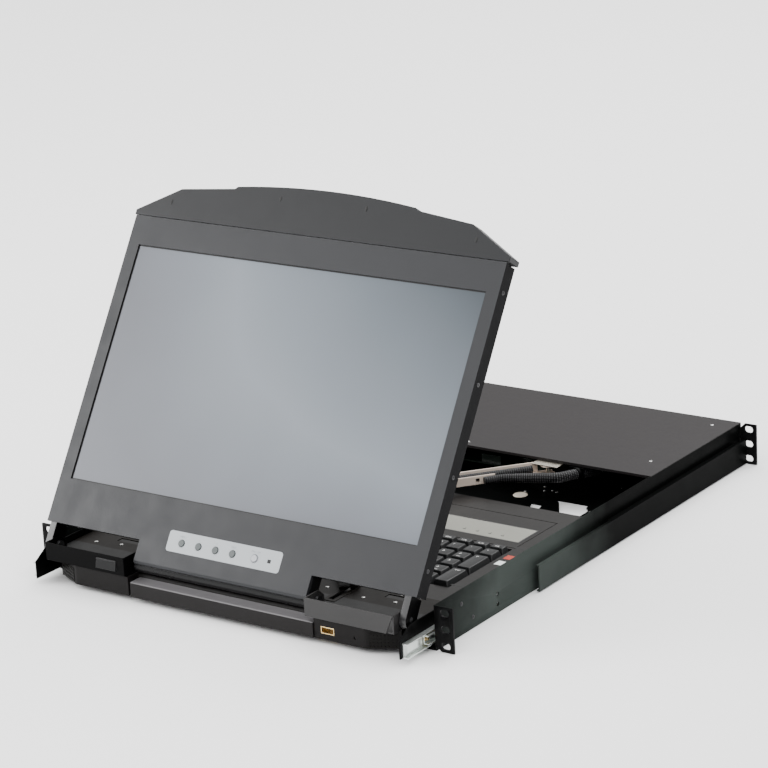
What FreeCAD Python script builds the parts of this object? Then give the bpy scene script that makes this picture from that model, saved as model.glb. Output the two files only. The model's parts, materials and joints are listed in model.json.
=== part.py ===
import FreeCAD, Part
import math
import os
import Sketcher

# Rack-mounted LCD console drawer, 1U high.
# X runs across the rack, +Y to the rear and +Z up.  The origin is the centre of
# the four front rack bolts, on the front face of the mounting ears.
# Heights named "..._up" are measured from the underside of the chassis pan.

SIZES = [
    # rack interface
    ("panel_width", 482.6, "outer width over the front ears"),
    ("panel_height", 43.6, "height of the 1U front"),
    ("bolt_inset", 8.75, "rack bolts inside the outer edges of the ears"),
    ("bolt_up", 31.75, "rack bolt spacing up, outer pair of an ear"),
    ("ear_sheet", 2.0, "thickness of the mounting ears"),
    ("ear_slot_width", 9.6, "overall width of an ear slot"),
    ("ear_slot_height", 7.0, "height of an ear slot"),
    ("ear_corner", 5.0, "chamfer on the inner bottom corner of an ear"),
    # chassis
    ("ear_reach", 18.8, "how far the ears stand out past the side walls"),
    ("slide_room", 3.5, "rear edge of the chassis behind the display slides"),
    ("pan_sheet", 1.2, "pan and wall thickness"),
    ("cover_long", 188.0, "length of the rear cover"),
    ("cover_sheet", 1.0, "rear cover thickness"),
    ("cover_lip", 2.0, "drop of the lip along the front of the cover"),
    ("window_left", 112.0, "inner side of a floor window"),
    ("window_right", 151.0, "outer side of a floor window"),
    ("window_behind", 3.0, "rear edge of a floor window behind the cable arm pivot"),
    ("window_long", 34.0, "length of a floor window"),
    ("window_slant", 24.0, "inner side moves out by this much at the front"),
    ("window_bevel", 7.0, "bevel on the floor window corners"),
    ("vent_left", 94.0, "inner side of the small floor opening"),
    ("vent_right", 107.0, "outer side of the small floor opening"),
    ("vent_short", 19.5, "small floor opening ends this far ahead of the window"),
    ("wall_hole", 2.2, "radius of the holes in the side walls"),
    ("wall_hole_back", 102.0, "depth of the wall holes behind the ears"),
    ("wall_hole_low_up", 8.4, "height of the lower wall hole"),
    ("wall_hole_step", 9.9, "spacing of the wall holes"),
    ("rear_panel_gap", 1.0, "rear panel inside the rear edge"),
    # adjustable rear brackets
    ("guide_reach", 6.1, "how far a bracket guide stands off the wall"),
    ("guide_in", 18.0, "rear end of the bracket guides inside the rear edge"),
    ("guide_long", 255.0, "length of the bracket guides"),
    ("slide_gap", 0.4, "clearance round sliding pieces"),
    ("past", 1.0, "how far a cut runs past the faces it goes through"),
    ("bracket_long", 411.0, "length of the rear brackets"),
    ("bracket_low_up", 1.0, "underside of the rear brackets"),
    ("bracket_high_up", 27.0, "top of the rear brackets"),
    ("bracket_lip", 3.4, "depth of the bracket lips"),
    # ball slides
    ("slide_thick", 7.5, "room across a complete ball slide"),
    ("rail_sheet", 1.0, "thickness of the rail profiles"),
    ("rail_outer_half", 7.0, "half height of the big rail profile"),
    ("rail_middle_half", 4.4, "half height of the middle rail profile"),
    ("rail_inner_half", 1.9, "half height of the small rail profile"),
    ("rail_step", 1.8, "sideways step from one rail web to the next"),
    ("cage_sheet", 0.3, "ball cage thickness"),
    ("cage_deep", 4.7, "how far a ball cage reaches across the slide"),
    # display slides
    ("lcd_travel", 360.0, "travel of the display carriage"),
    ("lcd_slide_up", 13.0, "height of the display slide centre"),
    ("lcd_rail_front", -40.5, "front end of the carriage rail, drawn out"),
    ("lcd_rail_long", 250.0, "length of the carriage rail"),
    ("lcd_middle_front", -10.0, "front end of the middle rail, drawn out"),
    ("lcd_fixed_front", 8.0, "front end of the fixed rail"),
    ("lcd_cage_front", -8.0, "front end of the ball cage"),
    ("lcd_cage_long", 140.0, "length of the ball cage"),
    # keyboard slides
    ("key_slide_up", 10.2, "height of the keyboard slide centre"),
    ("key_rail_front", 8.0, "front end of the keyboard rails, pushed in"),
    ("key_rail_long", 340.0, "length of the keyboard rails"),
    ("key_bracket_in", 12.0, "keyboard rail brackets inside the side walls"),
    ("key_bracket_foot", 14.0, "width of the bracket foot"),
    # display carriage
    ("plate_sheet", 1.5, "carriage plate thickness"),
    ("plate_front", -44.0, "front edge of the carriage plates"),
    ("plate_back", 206.0, "rear edge of the carriage plates"),
    ("plate_low_up", 5.8, "underside of the carriage plates"),
    ("plate_high_up", 33.6, "top of the carriage plates at the hinge"),
    ("plate_tail_up", 21.0, "top of the carriage plates behind the crossbar"),
    ("plate_nose_up", 23.0, "where the front edge of the carriage plates slopes back"),
    ("plate_nose", 17.0, "length of that slope"),
    ("plate_slope", 5.0, "where the plates begin to fall, behind the crossbar"),
    ("plate_tail", 18.0, "where the plates have fallen, behind the crossbar"),
    ("bar_low_up", 25.4, "underside of the crossbar"),
    ("bar_sheet", 1.2, "crossbar thickness"),
    ("bar_front", -9.5, "front edge of the crossbar"),
    ("bar_back", 47.0, "rear edge of the crossbar"),
    ("bar_end", 4.0, "drop of the down-turned ends of the crossbar"),
    ("bar_window", 28.0, "width of the windows in the crossbar"),
    ("bar_window_deep", 8.0, "depth of those windows, and the strip behind them"),
    ("tongue_clear", 4.8, "clearance between the display's tongue and a hinge box"),
    ("arm_clear", 0.8, "clearance between a hinge arm and its hinge box"),
    ("box_slant", 7.8, "how far the right front plate slants in at the bottom"),
    ("box_front", -38.8, "front face of the hinge boxes"),
    ("box_high_up", 43.3, "top edge of the hinge boxes"),
    ("box_wall", 1.5, "hinge box wall"),
    ("cheek_flat", 4.0, "flat top of a hinge box cheek behind the hinge axis"),
    ("cheek_over", 1.0, "cheek above the hinge axis at its rear edge"),
    ("pivot_y", -21.2, "display hinge axis, from the ear face"),
    ("pivot_up", 35.2, "display hinge axis height"),
    ("pin_radius", 2.5, "hinge pin radius"),
    ("pin_clear", 0.08, "clearance round a turning pin"),
    ("tab_in", 9.2, "release tab window, from the inner end of the hinge box"),
    ("tab_wide", 25.0, "width of the release tab window"),
    ("tab_low_up", 28.5, "lower edge of the release tab window"),
    ("tab_high_up", 39.8, "upper edge of the release tab window"),
    ("tab_barrel", 1.2, "radius of the barrel the release tab turns on"),
    ("tab_lean", 12.0, "outward lean of the release tab"),
    # display panel, measured up from the hinge axis and out to its front face
    ("lcd_lean", 32.3, "lean of the raised display back from upright"),
    ("lcd_front", 9.3, "display front face ahead of the hinge axis"),
    ("lcd_thick", 17.4, "display thickness"),
    ("bezel_thick", 4.0, "bezel thickness"),
    ("bezel_in", 6.0, "bezel edge inside the outer face of the side walls"),
    ("bezel_low", 19.8, "bezel bottom edge above the hinge axis"),
    ("bezel_high", 333.6, "bezel top edge above the hinge axis"),
    ("tongue_half", 101.0, "half width of the tongue between the hinges"),
    ("tongue_low", -3.5, "tongue end, from the hinge axis"),
    ("tongue_round", 3.4, "rounding of the tongue end"),
    ("tube_radius", 7.1, "radius of the round bar along the tongue end"),
    ("tube_drop", 2.2, "centre of that bar below the hinge axis"),
    ("screen_side", 13.5, "bezel beside the screen window"),
    ("screen_low", 64.2, "bottom of the screen window"),
    ("screen_high", 304.2, "top of the screen window"),
    ("screen_edge", 3.0, "screen edge held under the bezel"),
    ("bezel_lip", 1.5, "bezel thickness over the screen edge"),
    ("screen_thick", 9.0, "display module thickness"),
    ("shell_wall", 1.4, "back cover wall"),
    ("shell_inset", 1.0, "back cover inside the bezel edge"),
    ("tongue_wall", 5.6, "thickness of the tongue's side walls"),
    ("vent_side", 40.0, "inner end of a row of back cover vents"),
    ("vent_pitch", 9.0, "spacing of the back cover vents"),
    ("vent_wide", 3.0, "width of a back cover vent"),
    ("vent_long", 40.0, "length of a back cover vent"),
    ("vent_drop", 12.0, "vents below the top of the screen"),
    ("edge_screw_first", 45.2, "first edge screw above the hinge axis"),
    ("edge_screw_pitch", 87.1, "spacing of the edge screws"),
    ("edge_screw_back", 8.1, "edge screws behind the display face"),
    ("seam", 0.6, "seam between the bezel and the handle"),
    ("arm_thick", 7.4, "thickness of a hinge arm"),
    ("arm_in", 0.9, "clearance between a hinge arm and the carriage plate"),
    ("arm_round", 9.0, "radius of the hinge arm end"),
    ("collar_radius", 4.5, "radius of the hinge pin collars"),
    ("collar_long", 3.0, "length of the hinge pin collars"),
    # upper handle outline
    ("grip_over", 2.0, "upper handle past the bezel at each side"),
    ("grip_side", 5.0, "height of its square sides"),
    ("grip_slope", 48.5, "width of the chamfers"),
    ("grip_shoulder", 31.0, "height of the shoulders"),
    ("grip_step_half", 107.0, "half width at the foot of the centre step"),
    ("grip_step", 37.5, "height at the foot of the centre step"),
    ("grip_crown_half", 104.0, "half width of the crown"),
    ("grip_crown", 40.0, "height at the ends of the crown"),
    ("grip_rise", 6.0, "rise of the crown arc"),
    ("grip_wall", 3.0, "wall of the hollow handle"),
    ("rib_pitch", 80.0, "spacing of the ribs in the handle"),
    ("rib_thick", 2.0, "thickness of those ribs"),
    ("rib_sink", 6.0, "ribs below the rim of the handle"),
    # control plate and buttons
    ("label_left", -68.0, "left end of the control plate"),
    ("label_right", 64.5, "right end of the control plate"),
    ("label_low", 14.7, "bottom of the control plate"),
    ("label_high", 35.0, "top of the control plate"),
    ("label_corner", 3.0, "corner radius of the control plate"),
    ("label_sink", 0.8, "recess for the control plate"),
    ("label_proud", 0.2, "control plate above the bezel"),
    ("button_row", 24.1, "height of the button row above the hinge axis"),
    ("button_first", -51.4, "first menu button"),
    ("button_pitch", 20.0, "menu button spacing"),
    ("button_radius", 3.3, "menu button radius"),
    ("button_power", 34.4, "display power button"),
    ("button_proud", 1.0, "buttons above the control plate, more than their travel"),
    ("button_deep", 4.2, "button length"),
    ("button_clear", 0.35, "clearance round a button"),
    # keyboard drawer
    ("drawer_low_up", 3.4, "underside of the drawer tray"),
    ("tray_sheet", 1.0, "drawer tray thickness"),
    ("tray_back", 308.0, "rear edge of the drawer tray"),
    ("deck_up", 20.0, "top of the keyboard deck"),
    ("deck_thick", 2.4, "deck thickness"),
    ("deck_in", 1.8, "deck edge inside the rail brackets"),
    ("deck_front", -19.5, "front edge of the deck"),
    ("deck_back", 310.0, "rear edge of the deck"),
    ("deck_corner", 6.0, "bevel on the rear deck corners"),
    ("groove_out", 5.5, "groove outside the ends of the port strip"),
    ("groove_front", 206.0, "front of the groove round the port strip"),
    ("groove_back", 281.5, "rear of the groove round the port strip"),
    ("groove_wide", 1.0, "width of the groove"),
    ("groove_deep", 0.6, "depth of the groove"),
    ("foot_in", 56.0, "tray stiffeners inside the tray sides"),
    ("foot_wide", 4.0, "width of a tray stiffener"),
    ("foot_high", 3.0, "height of a tray stiffener"),
    ("foot_end", 30.0, "stiffeners inside the ends of the tray"),
    ("front_face", -36.0, "front face of the drawer"),
    ("front_low_up", 5.0, "underside of the drawer front"),
    ("front_high_up", 24.0, "top of the drawer front beside the handle"),
    ("front_wall", 2.2, "wall of the drawer front"),
    ("front_in", 1.8, "ends of the drawer front inside the tray sides"),
    ("front_chamfer", 30.0, "width of the front corner chamfers"),
    ("front_round", 8.0, "rounding where the chamfers begin"),
    ("front_side_y", -21.0, "front of the drawer sides"),
    ("grip_bar_gap", 3.5, "gap at the left end of the lower handle"),
    ("grip_bar_proud", 1.5, "lower handle ahead of the drawer front"),
    ("grip_bar_round", 2.0, "rounding along the top of the lower handle"),
    ("grip_bar_wall", 2.6, "lower handle wall"),
    ("usb_in", 8.2, "USB socket outside the end of the lower handle"),
    ("usb_up", 14.2, "USB socket height"),
    ("usb_wide", 14.6, "USB socket outer width"),
    ("usb_high", 6.9, "USB socket outer height"),
    ("usb_wall", 0.8, "USB socket shell"),
    ("usb_deep", 13.5, "USB socket depth"),
    ("usb_tongue", 1.3, "thickness of the tongue in the USB socket"),
    ("usb_sink", 2.0, "that tongue behind the mouth of the socket"),
    ("reset_step", 30.4, "reset hole outside the USB socket centre"),
    ("reset_in", 11.1, "reset hole inside the front corner"),
    ("reset_up", 13.0, "reset hole height"),
    ("reset_radius", 1.5, "reset hole radius"),
    ("strip_front", 220.0, "front edge of the port strip"),
    ("strip_back", 255.0, "rear edge of the port strip"),
    ("strip_half", 170.0, "half width of the port strip"),
    ("strip_sink", 0.6, "recess for the port strip"),
    ("strip_proud", 0.2, "port strip above its recess edge"),
    # keys
    ("key_pitch", 19.05, "key spacing"),
    ("key_gap", 1.1, "gap between key skirts"),
    ("key_taper", 2.1, "inward slope of a key cap on each side"),
    ("key_travel", 1.8, "key travel"),
    ("key_cushion", 0.6, "key mat left below a pressed key"),
    ("key_tall", 7.7, "height of a key cap"),
    ("key_front", 92.4, "front edge of the key field"),
    ("key_units", 18.25, "width of the key field in keys"),
    ("pad_gap", 0.25, "gap to the number pad in keys"),
    ("function_depth", 13.0, "depth of the function row"),
    ("well_margin", 1.2, "key well outside the key field"),
    ("mat_up", 14.2, "top of the key mat"),
    ("mat_thick", 3.0, "key mat thickness"),
    # touchpad
    ("touch_half", 36.0, "half width of the touchpad"),
    ("touch_front", 27.0, "front edge of the touchpad"),
    ("touch_back", 73.0, "rear edge of the touchpad"),
    ("touch_sink", 0.8, "touchpad recess"),
    ("click_front", 10.0, "front edge of the touchpad buttons"),
    ("click_back", 25.5, "rear edge of the touchpad buttons"),
    ("click_thick", 3.4, "touchpad button thickness"),
    ("reset_long", 6.6, "length of the reset button"),
    # cable arm
    ("link_x", 105.0, "cable arm end pivots, from the centre line"),
    ("link_rear", 192.0, "rear pivot of the cable arm ahead of the rear edge"),
    ("link_front_y", 37.5, "front pin of the cable arm, display drawn out"),
    ("link_angle", 40.0, "arm half angle with the display drawn out"),
    ("link_wander", 32.0, "how far the front pin runs along its slot"),
    ("guide_rim", 4.0, "width of the rim round the slot"),
    ("guide_thick", 0.6, "height of the rim round the slot"),
    ("link_side", 1.0, "channel offset from the pivot line"),
    ("link_wide", 12.0, "channel width"),
    ("link_sheet", 1.2, "channel sheet"),
    ("link_low_up", 27.6, "underside of the rear link"),
    ("link_high_up", 39.0, "top of the rear link"),
    ("link_nest", 1.6, "front link inside the rear link at the elbow"),
    ("link_eye", 7.5, "radius of the link eyes"),
    ("link_open", 56.0, "open part of the rear link next to its pivot"),
    ("link_dip", 2.5, "near web of the rear link below its top"),
    ("link_hole", 4.0, "side of the square holes in the near web"),
    ("link_hole_first", 74.5, "first square hole along the rear link"),
    ("link_hole_pitch", 42.0, "spacing of the square holes"),
    ("link_slot", 8.0, "length of the openings in the far webs"),
    ("link_slot_edge", 3.0, "web left above and below an opening"),
    ("link_pin", 2.4, "radius of the link pins"),
    ("cord_radius", 4.0, "radius of the display cable"),
    ("mount_long", 39.0, "rear of the cable arm mount behind the pivot"),
    ("mount_half", 15.0, "half width of the cable arm mount"),
    ("clamp_behind", 1.0, "cable clamp plate behind the pivot"),
    ("clamp_left", 129.0, "left side of the cable clamp plate"),
    ("clamp_right", 146.0, "right side of the cable clamp plate"),
    # rear electronics
    ("port_up", 20.0, "height of the rear connectors"),
    ("port_back", 2.0, "back wall of the rear connectors"),
    ("inlet_step", 29.0, "power inlet centre inside the power switch centre"),
    ("inlet_wide", 27.4, "power inlet width"),
    ("inlet_high", 20.0, "power inlet height"),
    ("inlet_deep", 18.0, "power inlet depth"),
    ("inlet_wall", 2.2, "power inlet wall"),
    ("blade_wide", 2.0, "width of an inlet blade"),
    ("blade_high", 4.0, "height of an inlet blade"),
    ("blade_step", 7.0, "spacing of the inlet blades"),
    ("blade_sink", 7.0, "blades behind the rim of the inlet"),
    ("rocker_in", 27.3, "power switch centre inside the side wall"),
    ("rocker_wide", 13.0, "power switch frame width"),
    ("rocker_high", 19.5, "power switch frame height"),
    ("rocker_wall", 1.4, "power switch frame wall"),
    ("rocker_proud", 3.2, "upper end of the rocker ahead of the panel"),
    ("rocker_waist", 0.8, "waist of the rocker ahead of the panel"),
    ("rocker_side", 2.0, "rocker ends behind the panel"),
    ("rocker_deep", 6.0, "depth of the rocker behind the panel"),
    ("video_x", 70.0, "console video port centre"),
    ("video_wide", 31.0, "console video port width"),
    ("video_high", 12.4, "console video port height"),
    ("video_wall", 1.2, "console video port wall"),
    ("video_room", 3.0, "room round the video port's contact block"),
    ("data_x", 30.0, "console USB port centre"),
    ("data_wide", 12.0, "console USB port width"),
    ("data_high", 11.0, "console USB port height"),
    ("data_wall", 1.6, "console USB port wall"),
    ("data_room", 3.0, "room round the data port's contact block"),
    ("data_sink", 5.0, "data contact block behind the panel"),
    ("port_reach", 5.0, "how far the ports stand out of the panel"),
    ("board_up", 7.0, "underside of the main board"),
    ("board_thick", 1.6, "board thickness"),
    ("board_in", 16.0, "main board ahead of the rear panel"),
    ("board_long", 126.0, "depth of the main board"),
    ("board_gap", 20.0, "main board beside the power supply"),
    ("board_right", 112.0, "right edge of the main board"),
    ("board_post", 3.0, "radius of the board posts"),
    ("board_edge", 10.0, "posts inside the edges of the board"),
    ("chip_high", 3.0, "height of the chips"),
    ("header_high", 8.0, "height of the pin headers"),
    ("header_long", 24.0, "length of the pin headers"),
    ("header_wide", 8.0, "width of the pin headers"),
    ("header_pitch", 60.0, "spacing of the pin headers"),
    ("header_in", 4.0, "pin headers behind the front edge of the board"),
    ("supply_in", 14.3, "power supply inside the side wall"),
    ("supply_wide", 77.0, "width of the power supply"),
    ("supply_behind", 20.0, "power supply ahead of the rear panel"),
    ("supply_long", 130.0, "depth of the power supply"),
    ("supply_high_up", 37.0, "top of the power supply"),
    ("supply_edge", 8.0, "vents inside the edges of the power supply"),
    ("supply_slot", 3.0, "width of a power supply vent"),
    ("supply_pitch", 9.0, "spacing of those vents"),
    ("screw_head", 2.6, "screw head radius"),
    ("screw_proud", 0.8, "screw head height"),
    ("screw_in", 21.3, "cover screws inside the side walls"),
    ("screw_edge", 9.0, "cover screws behind the front edge of the cover"),
    ("screw_step", 30.0, "second cover screw behind the first"),
    ("screw_rear", 158.0, "third cover screw behind the first"),
    ("wall_screw_y", 42.0, "first wall screw behind the ears"),
    ("wall_screw_step", 18.0, "second wall screw behind the first"),
    ("wall_screw_high_up", 30.0, "height of the first wall screw"),
    ("wall_screw_low_up", 11.0, "height of the second wall screw"),
]

doc = FreeCAD.newDocument("ConsoleDrawer")
sheet = doc.addObject("Spreadsheet::Sheet", "dims")


class Size:
    """A length or angle that carries its number and its formula in the sheet."""

    def __init__(self, number, formula=None):
        self.number = float(number)
        self.formula = formula or repr(float(number))

    def __add__(self, other):
        other = sized(other)
        return Size(self.number + other.number, f"({self.formula} + {other.formula})")

    def __radd__(self, other):
        return sized(other) + self

    def __sub__(self, other):
        other = sized(other)
        return Size(self.number - other.number, f"({self.formula} - {other.formula})")

    def __rsub__(self, other):
        return sized(other) - self

    def __mul__(self, other):
        other = sized(other)
        return Size(self.number * other.number, f"({self.formula} * {other.formula})")

    def __rmul__(self, other):
        return sized(other) * self

    def __truediv__(self, other):
        other = sized(other)
        return Size(self.number / other.number, f"({self.formula} / {other.formula})")

    def __neg__(self):
        return Size(-self.number, f"(0 - {self.formula})")


def sized(value):
    return value if isinstance(value, Size) else Size(value)


def sine(angle):
    return Size(math.sin(math.radians(angle.number)), f"sin({angle.formula} * 1 deg)")


def cosine(angle):
    return Size(math.cos(math.radians(angle.number)), f"cos({angle.formula} * 1 deg)")


class Dims:
    """The cells of the sheet by name."""


D = Dims()
for row, (alias, number, meaning) in enumerate(SIZES, 1):
    sheet.set(f"A{row}", alias)
    sheet.set(f"B{row}", str(number))
    sheet.set(f"C{row}", meaning)
    sheet.setAlias(f"B{row}", alias)
    setattr(D, alias, Size(number, f"dims.{alias}"))
doc.recompute()

# ---------------------------------------------------------------- helpers

ROLES = {"XY": "XY_Plane", "XZ": "XZ_Plane", "YZ": "YZ_Plane"}
NODES = []


def bind(thing, path, size):
    thing.setExpression(path, sized(size).formula)


def node(thing, label):
    thing.Label = label
    NODES.append(thing)
    return thing


def new_body(label):
    body = doc.addObject("PartDesign::Body", label + "_body")
    body.AllowCompound = True
    return node(body, label)


def new_sketch(body, plane, level):
    sketch = body.newObject("Sketcher::SketchObject", body.Name + "_sketch")
    support = [item for item in body.Origin.OriginFeatures if item.Role == ROLES[plane]]
    sketch.AttachmentSupport = (support[0], "")
    sketch.MapMode = "FlatFace"
    offset = -sized(level) if plane == "XZ" else sized(level)
    bind(sketch, "AttachmentOffset.Base.z", offset)
    return sketch


def pin_point(sketch, geometry, end, x, y):
    """Hold one end of a line, or a centre, at its place in the sketch."""
    for kind, size in (("DistanceX", sized(x)), ("DistanceY", sized(y))):
        made = sketch.addConstraint(Sketcher.Constraint(kind, geometry, end, size.number))
        sketch.setExpression(f"Constraints[{made}]", size.formula)


def draw_polygon(sketch, corners, crown=None):
    """A closed outline, counter-clockwise.  crown = (edge, rise) arches a level edge."""
    first = sketch.GeometryCount
    sizes = [(sized(x), sized(y)) for x, y in corners]
    points = [FreeCAD.Vector(x.number, y.number, 0) for x, y in sizes]
    count = len(points)
    for k in range(count):
        a = points[k]
        b = points[(k + 1) % count]
        if crown and crown[0] == k:
            middle = (a + b) / 2 + FreeCAD.Vector(0, crown[1].number, 0)
            sketch.addGeometry(Part.Arc(a, middle, b), False)
        else:
            sketch.addGeometry(Part.LineSegment(a, b), False)
    for k in range(count):
        joint = Sketcher.Constraint("Coincident", first + k, 2, first + (k + 1) % count, 1)
        sketch.addConstraint(joint)
        pin_point(sketch, first + k, 1, *sizes[k])
    if crown:
        span = sizes[crown[0]][0] - sizes[(crown[0] + 1) % count][0]
        radius = (span * span / 4 + crown[1] * crown[1]) / (2 * crown[1])
        made = sketch.addConstraint(Sketcher.Constraint("Radius", first + crown[0], radius.number))
        sketch.setExpression(f"Constraints[{made}]", radius.formula)


def draw_circle(sketch, x, y, radius):
    first = sketch.GeometryCount
    centre = FreeCAD.Vector(sized(x).number, sized(y).number, 0)
    up = FreeCAD.Vector(0, 0, 1)
    sketch.addGeometry(Part.Circle(centre, up, sized(radius).number), False)
    pin_point(sketch, first, 3, x, y)
    made = sketch.addConstraint(Sketcher.Constraint("Radius", first, sized(radius).number))
    sketch.setExpression(f"Constraints[{made}]", sized(radius).formula)


def rectangle(x0, x1, y0, y1):
    return [(x0, y0), (x1, y0), (x1, y1), (x0, y1)]


def grown(outline, amount):
    """A rectangle from rectangle(), pushed out on all sides."""
    (x0, y0), (x1, _), (_, y1), _ = outline
    return rectangle(x0 - amount, x1 + amount, y0 - amount, y1 + amount)


def mirrored(outline):
    """The same outline on the other side of the centre line."""
    return [(-sized(x), y) for x, y in reversed(outline)]


def pair(outline):
    return [outline, mirrored(outline)]


def fill_sketch(sketch, outlines, circles, crown):
    for outline in outlines:
        draw_polygon(sketch, outline, crown)
    for circle in circles:
        draw_circle(sketch, *circle)


def pad(body, plane, start, end, outlines=(), circles=(), crown=None):
    """Grow the outlines from start to end along the plane's own axis."""
    sketch = new_sketch(body, plane, end if plane == "XZ" else start)
    fill_sketch(sketch, outlines, circles, crown)
    feature = body.newObject("PartDesign::Pad", body.Name + "_pad")
    feature.Profile = sketch
    bind(feature, "Length", sized(end) - start)
    sketch.Visibility = False


def pocket(body, plane, start, end, outlines=(), circles=(), crown=None):
    """Cut the outlines away from start to end, and make sure something went."""
    doc.recompute()
    before = body.Shape.Volume
    sketch = new_sketch(body, plane, start if plane == "XZ" else end)
    fill_sketch(sketch, outlines, circles, crown)
    feature = body.newObject("PartDesign::Pocket", body.Name + "_pocket")
    feature.Profile = sketch
    bind(feature, "Length", sized(end) - start)
    sketch.Visibility = False
    doc.recompute()
    if body.Shape.Volume > before - 1e-3:
        raise ValueError(f"a pocket in {body.Label} removed nothing")


def dress(body, kind, size, wanted):
    """Fillet or chamfer the edges of the last feature that wanted() picks."""
    doc.recompute()
    base = body.Tip
    names = [f"Edge{k}" for k, edge in enumerate(base.Shape.Edges, 1) if wanted(edge)]
    feature = body.newObject("PartDesign::" + kind, body.Name + "_" + kind.lower())
    feature.Base = (base, names)
    bind(feature, "Radius" if kind == "Fillet" else "Size", size)


def edge_along(axis, **places):
    """Picks straight edges along an axis at the given places, or at minus them."""
    def wanted(edge):
        if len(edge.Vertexes) != 2:
            return False
        a = edge.Vertexes[0].Point
        b = edge.Vertexes[1].Point
        run = b - a
        if abs(abs(getattr(run, axis)) - run.Length) > 1e-6:
            return False
        return all(abs(abs(getattr(a, key)) - abs(sized(size).number)) < 1e-4
                   for key, size in places.items())
    return wanted


def place(thing, x=0, y=0, z=0):
    bind(thing, "Placement.Base.x", x)
    bind(thing, "Placement.Base.y", y)
    bind(thing, "Placement.Base.z", z)
    return thing


TURNS = {"x": (FreeCAD.Vector(0, 1, 0), 90), "y": (FreeCAD.Vector(1, 0, 0), -90),
         "z": (FreeCAD.Vector(0, 0, 1), 0)}


def rod(name, axis, x, y, z, radius, length):
    """A cylinder that starts at a point and runs along a positive axis."""
    cylinder = doc.addObject("Part::Cylinder", name)
    bind(cylinder, "Radius", radius)
    bind(cylinder, "Height", length)
    cylinder.Placement.Rotation = FreeCAD.Rotation(*TURNS[axis])
    return place(cylinder, x, y, z)


def grouped(name, things):
    group = doc.addObject("Part::Compound", name)
    group.Links = things
    return group


LOW = -D.panel_height / 2


def up(height):
    """A height above the pan's underside as a Z place."""
    return LOW + height


WALL = D.panel_width / 2 - D.ear_reach
BOLT_X = D.panel_width / 2 - D.bolt_inset
INSIDE = WALL - D.pan_sheet
TOP = up(D.panel_height)
# Pushed in, all three rails of a display slide end together at the back.
SLIDE_END = D.lcd_rail_front + D.lcd_rail_long + D.lcd_travel
DEPTH = SLIDE_END + D.slide_room
COVER_FRONT = DEPTH - D.cover_long
LINK_REAR = DEPTH - D.link_rear


def cut_slots(body, plane, start, end, centres, width, height):
    """Round-ended slots: a straight middle, then the two round ends."""
    half = (width - height) / 2
    middles = [rectangle(x - half, x + half, y - height / 2, y + height / 2) for x, y in centres]
    pocket(body, plane, start, end, middles)
    for side in (-1, 1):
        ends = [(x + side * half, y, height / 2) for x, y in centres]
        pocket(body, plane, start, end, circles=ends)


# ---------------------------------------------------------------- chassis

REAR_FACE = DEPTH - D.rear_panel_gap
FLOOR = LOW + D.pan_sheet
GUIDE_LOW = up(D.bracket_low_up) + D.pan_sheet + D.slide_gap
GUIDE_HIGH = up(D.bracket_high_up) - D.pan_sheet - D.slide_gap


def slot_centres(sides):
    return [(side * BOLT_X, step * D.bolt_up / 2) for side in sides for step in (-1, 0, 1)]


def chassis_pan():
    body = new_body("chassis_pan")
    trough = [(-WALL, LOW), (WALL, LOW), (WALL, TOP), (INSIDE, TOP), (INSIDE, FLOOR),
              (-INSIDE, FLOOR), (-INSIDE, TOP), (-WALL, TOP)]
    pad(body, "XZ", 0, DEPTH, [trough])
    ear = [(INSIDE, LOW + D.ear_corner), (WALL, LOW + D.ear_corner), (WALL + D.ear_corner, LOW),
           (D.panel_width / 2, LOW), (D.panel_width / 2, TOP), (INSIDE, TOP)]
    pad(body, "XZ", 0, D.ear_sheet, pair(ear))
    reach = WALL + D.guide_reach
    guide = [(WALL, GUIDE_LOW), (reach, GUIDE_LOW), (reach, GUIDE_HIGH), (WALL, GUIDE_HIGH),
             (WALL, GUIDE_HIGH - D.pan_sheet), (reach - D.pan_sheet, GUIDE_HIGH - D.pan_sheet),
             (reach - D.pan_sheet, GUIDE_LOW + D.pan_sheet), (WALL, GUIDE_LOW + D.pan_sheet)]
    guide_back = DEPTH - D.guide_in
    pad(body, "XZ", guide_back - D.guide_long, guide_back, pair(guide))
    past = D.past
    rebate = rectangle(INSIDE - past, WALL + past, TOP - D.cover_sheet, TOP + past)
    pocket(body, "XZ", COVER_FRONT, DEPTH + past, pair(rebate))
    left, right = D.window_left, D.window_right
    back, bevel = LINK_REAR + D.window_behind, D.window_bevel
    front = back - D.window_long
    window = [(left + D.window_slant, front), (right + bevel, front),
              (right + bevel, back - 2 * bevel), (right, back - bevel), (right, back),
              (left, back), (left + bevel, back - bevel)]
    vent = [(D.vent_left + bevel, front), (D.vent_right + bevel / 2, front),
            (D.vent_right, back - D.vent_short), (D.vent_left, back - D.vent_short)]
    pocket(body, "XY", LOW - past, FLOOR + past, pair(window) + pair(vent))
    holes = [(D.wall_hole_back, up(D.wall_hole_low_up + step * D.wall_hole_step), D.wall_hole)
             for step in (0, 1)]
    pocket(body, "YZ", -WALL - past, WALL + past, circles=holes)
    cut_slots(body, "XZ", -past, D.ear_sheet + past, slot_centres((-1, 1)),
              D.ear_slot_width, D.ear_slot_height)


def rear_cover():
    body = new_body("rear_cover")
    pad(body, "XY", TOP - D.cover_sheet, TOP,
        [rectangle(-WALL, WALL, COVER_FRONT, DEPTH)])
    lip = rectangle(-INSIDE + D.slide_gap, INSIDE - D.slide_gap,
                    COVER_FRONT, COVER_FRONT + D.cover_sheet)
    pad(body, "XY", TOP - D.cover_sheet - D.cover_lip, TOP, [lip])


ROCKER_X = INSIDE - D.rocker_in
INLET_X = ROCKER_X - D.inlet_step


def port_outline(x, wide, high):
    middle = up(D.port_up)
    return rectangle(x - wide / 2, x + wide / 2, middle - high / 2, middle + high / 2)


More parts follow.
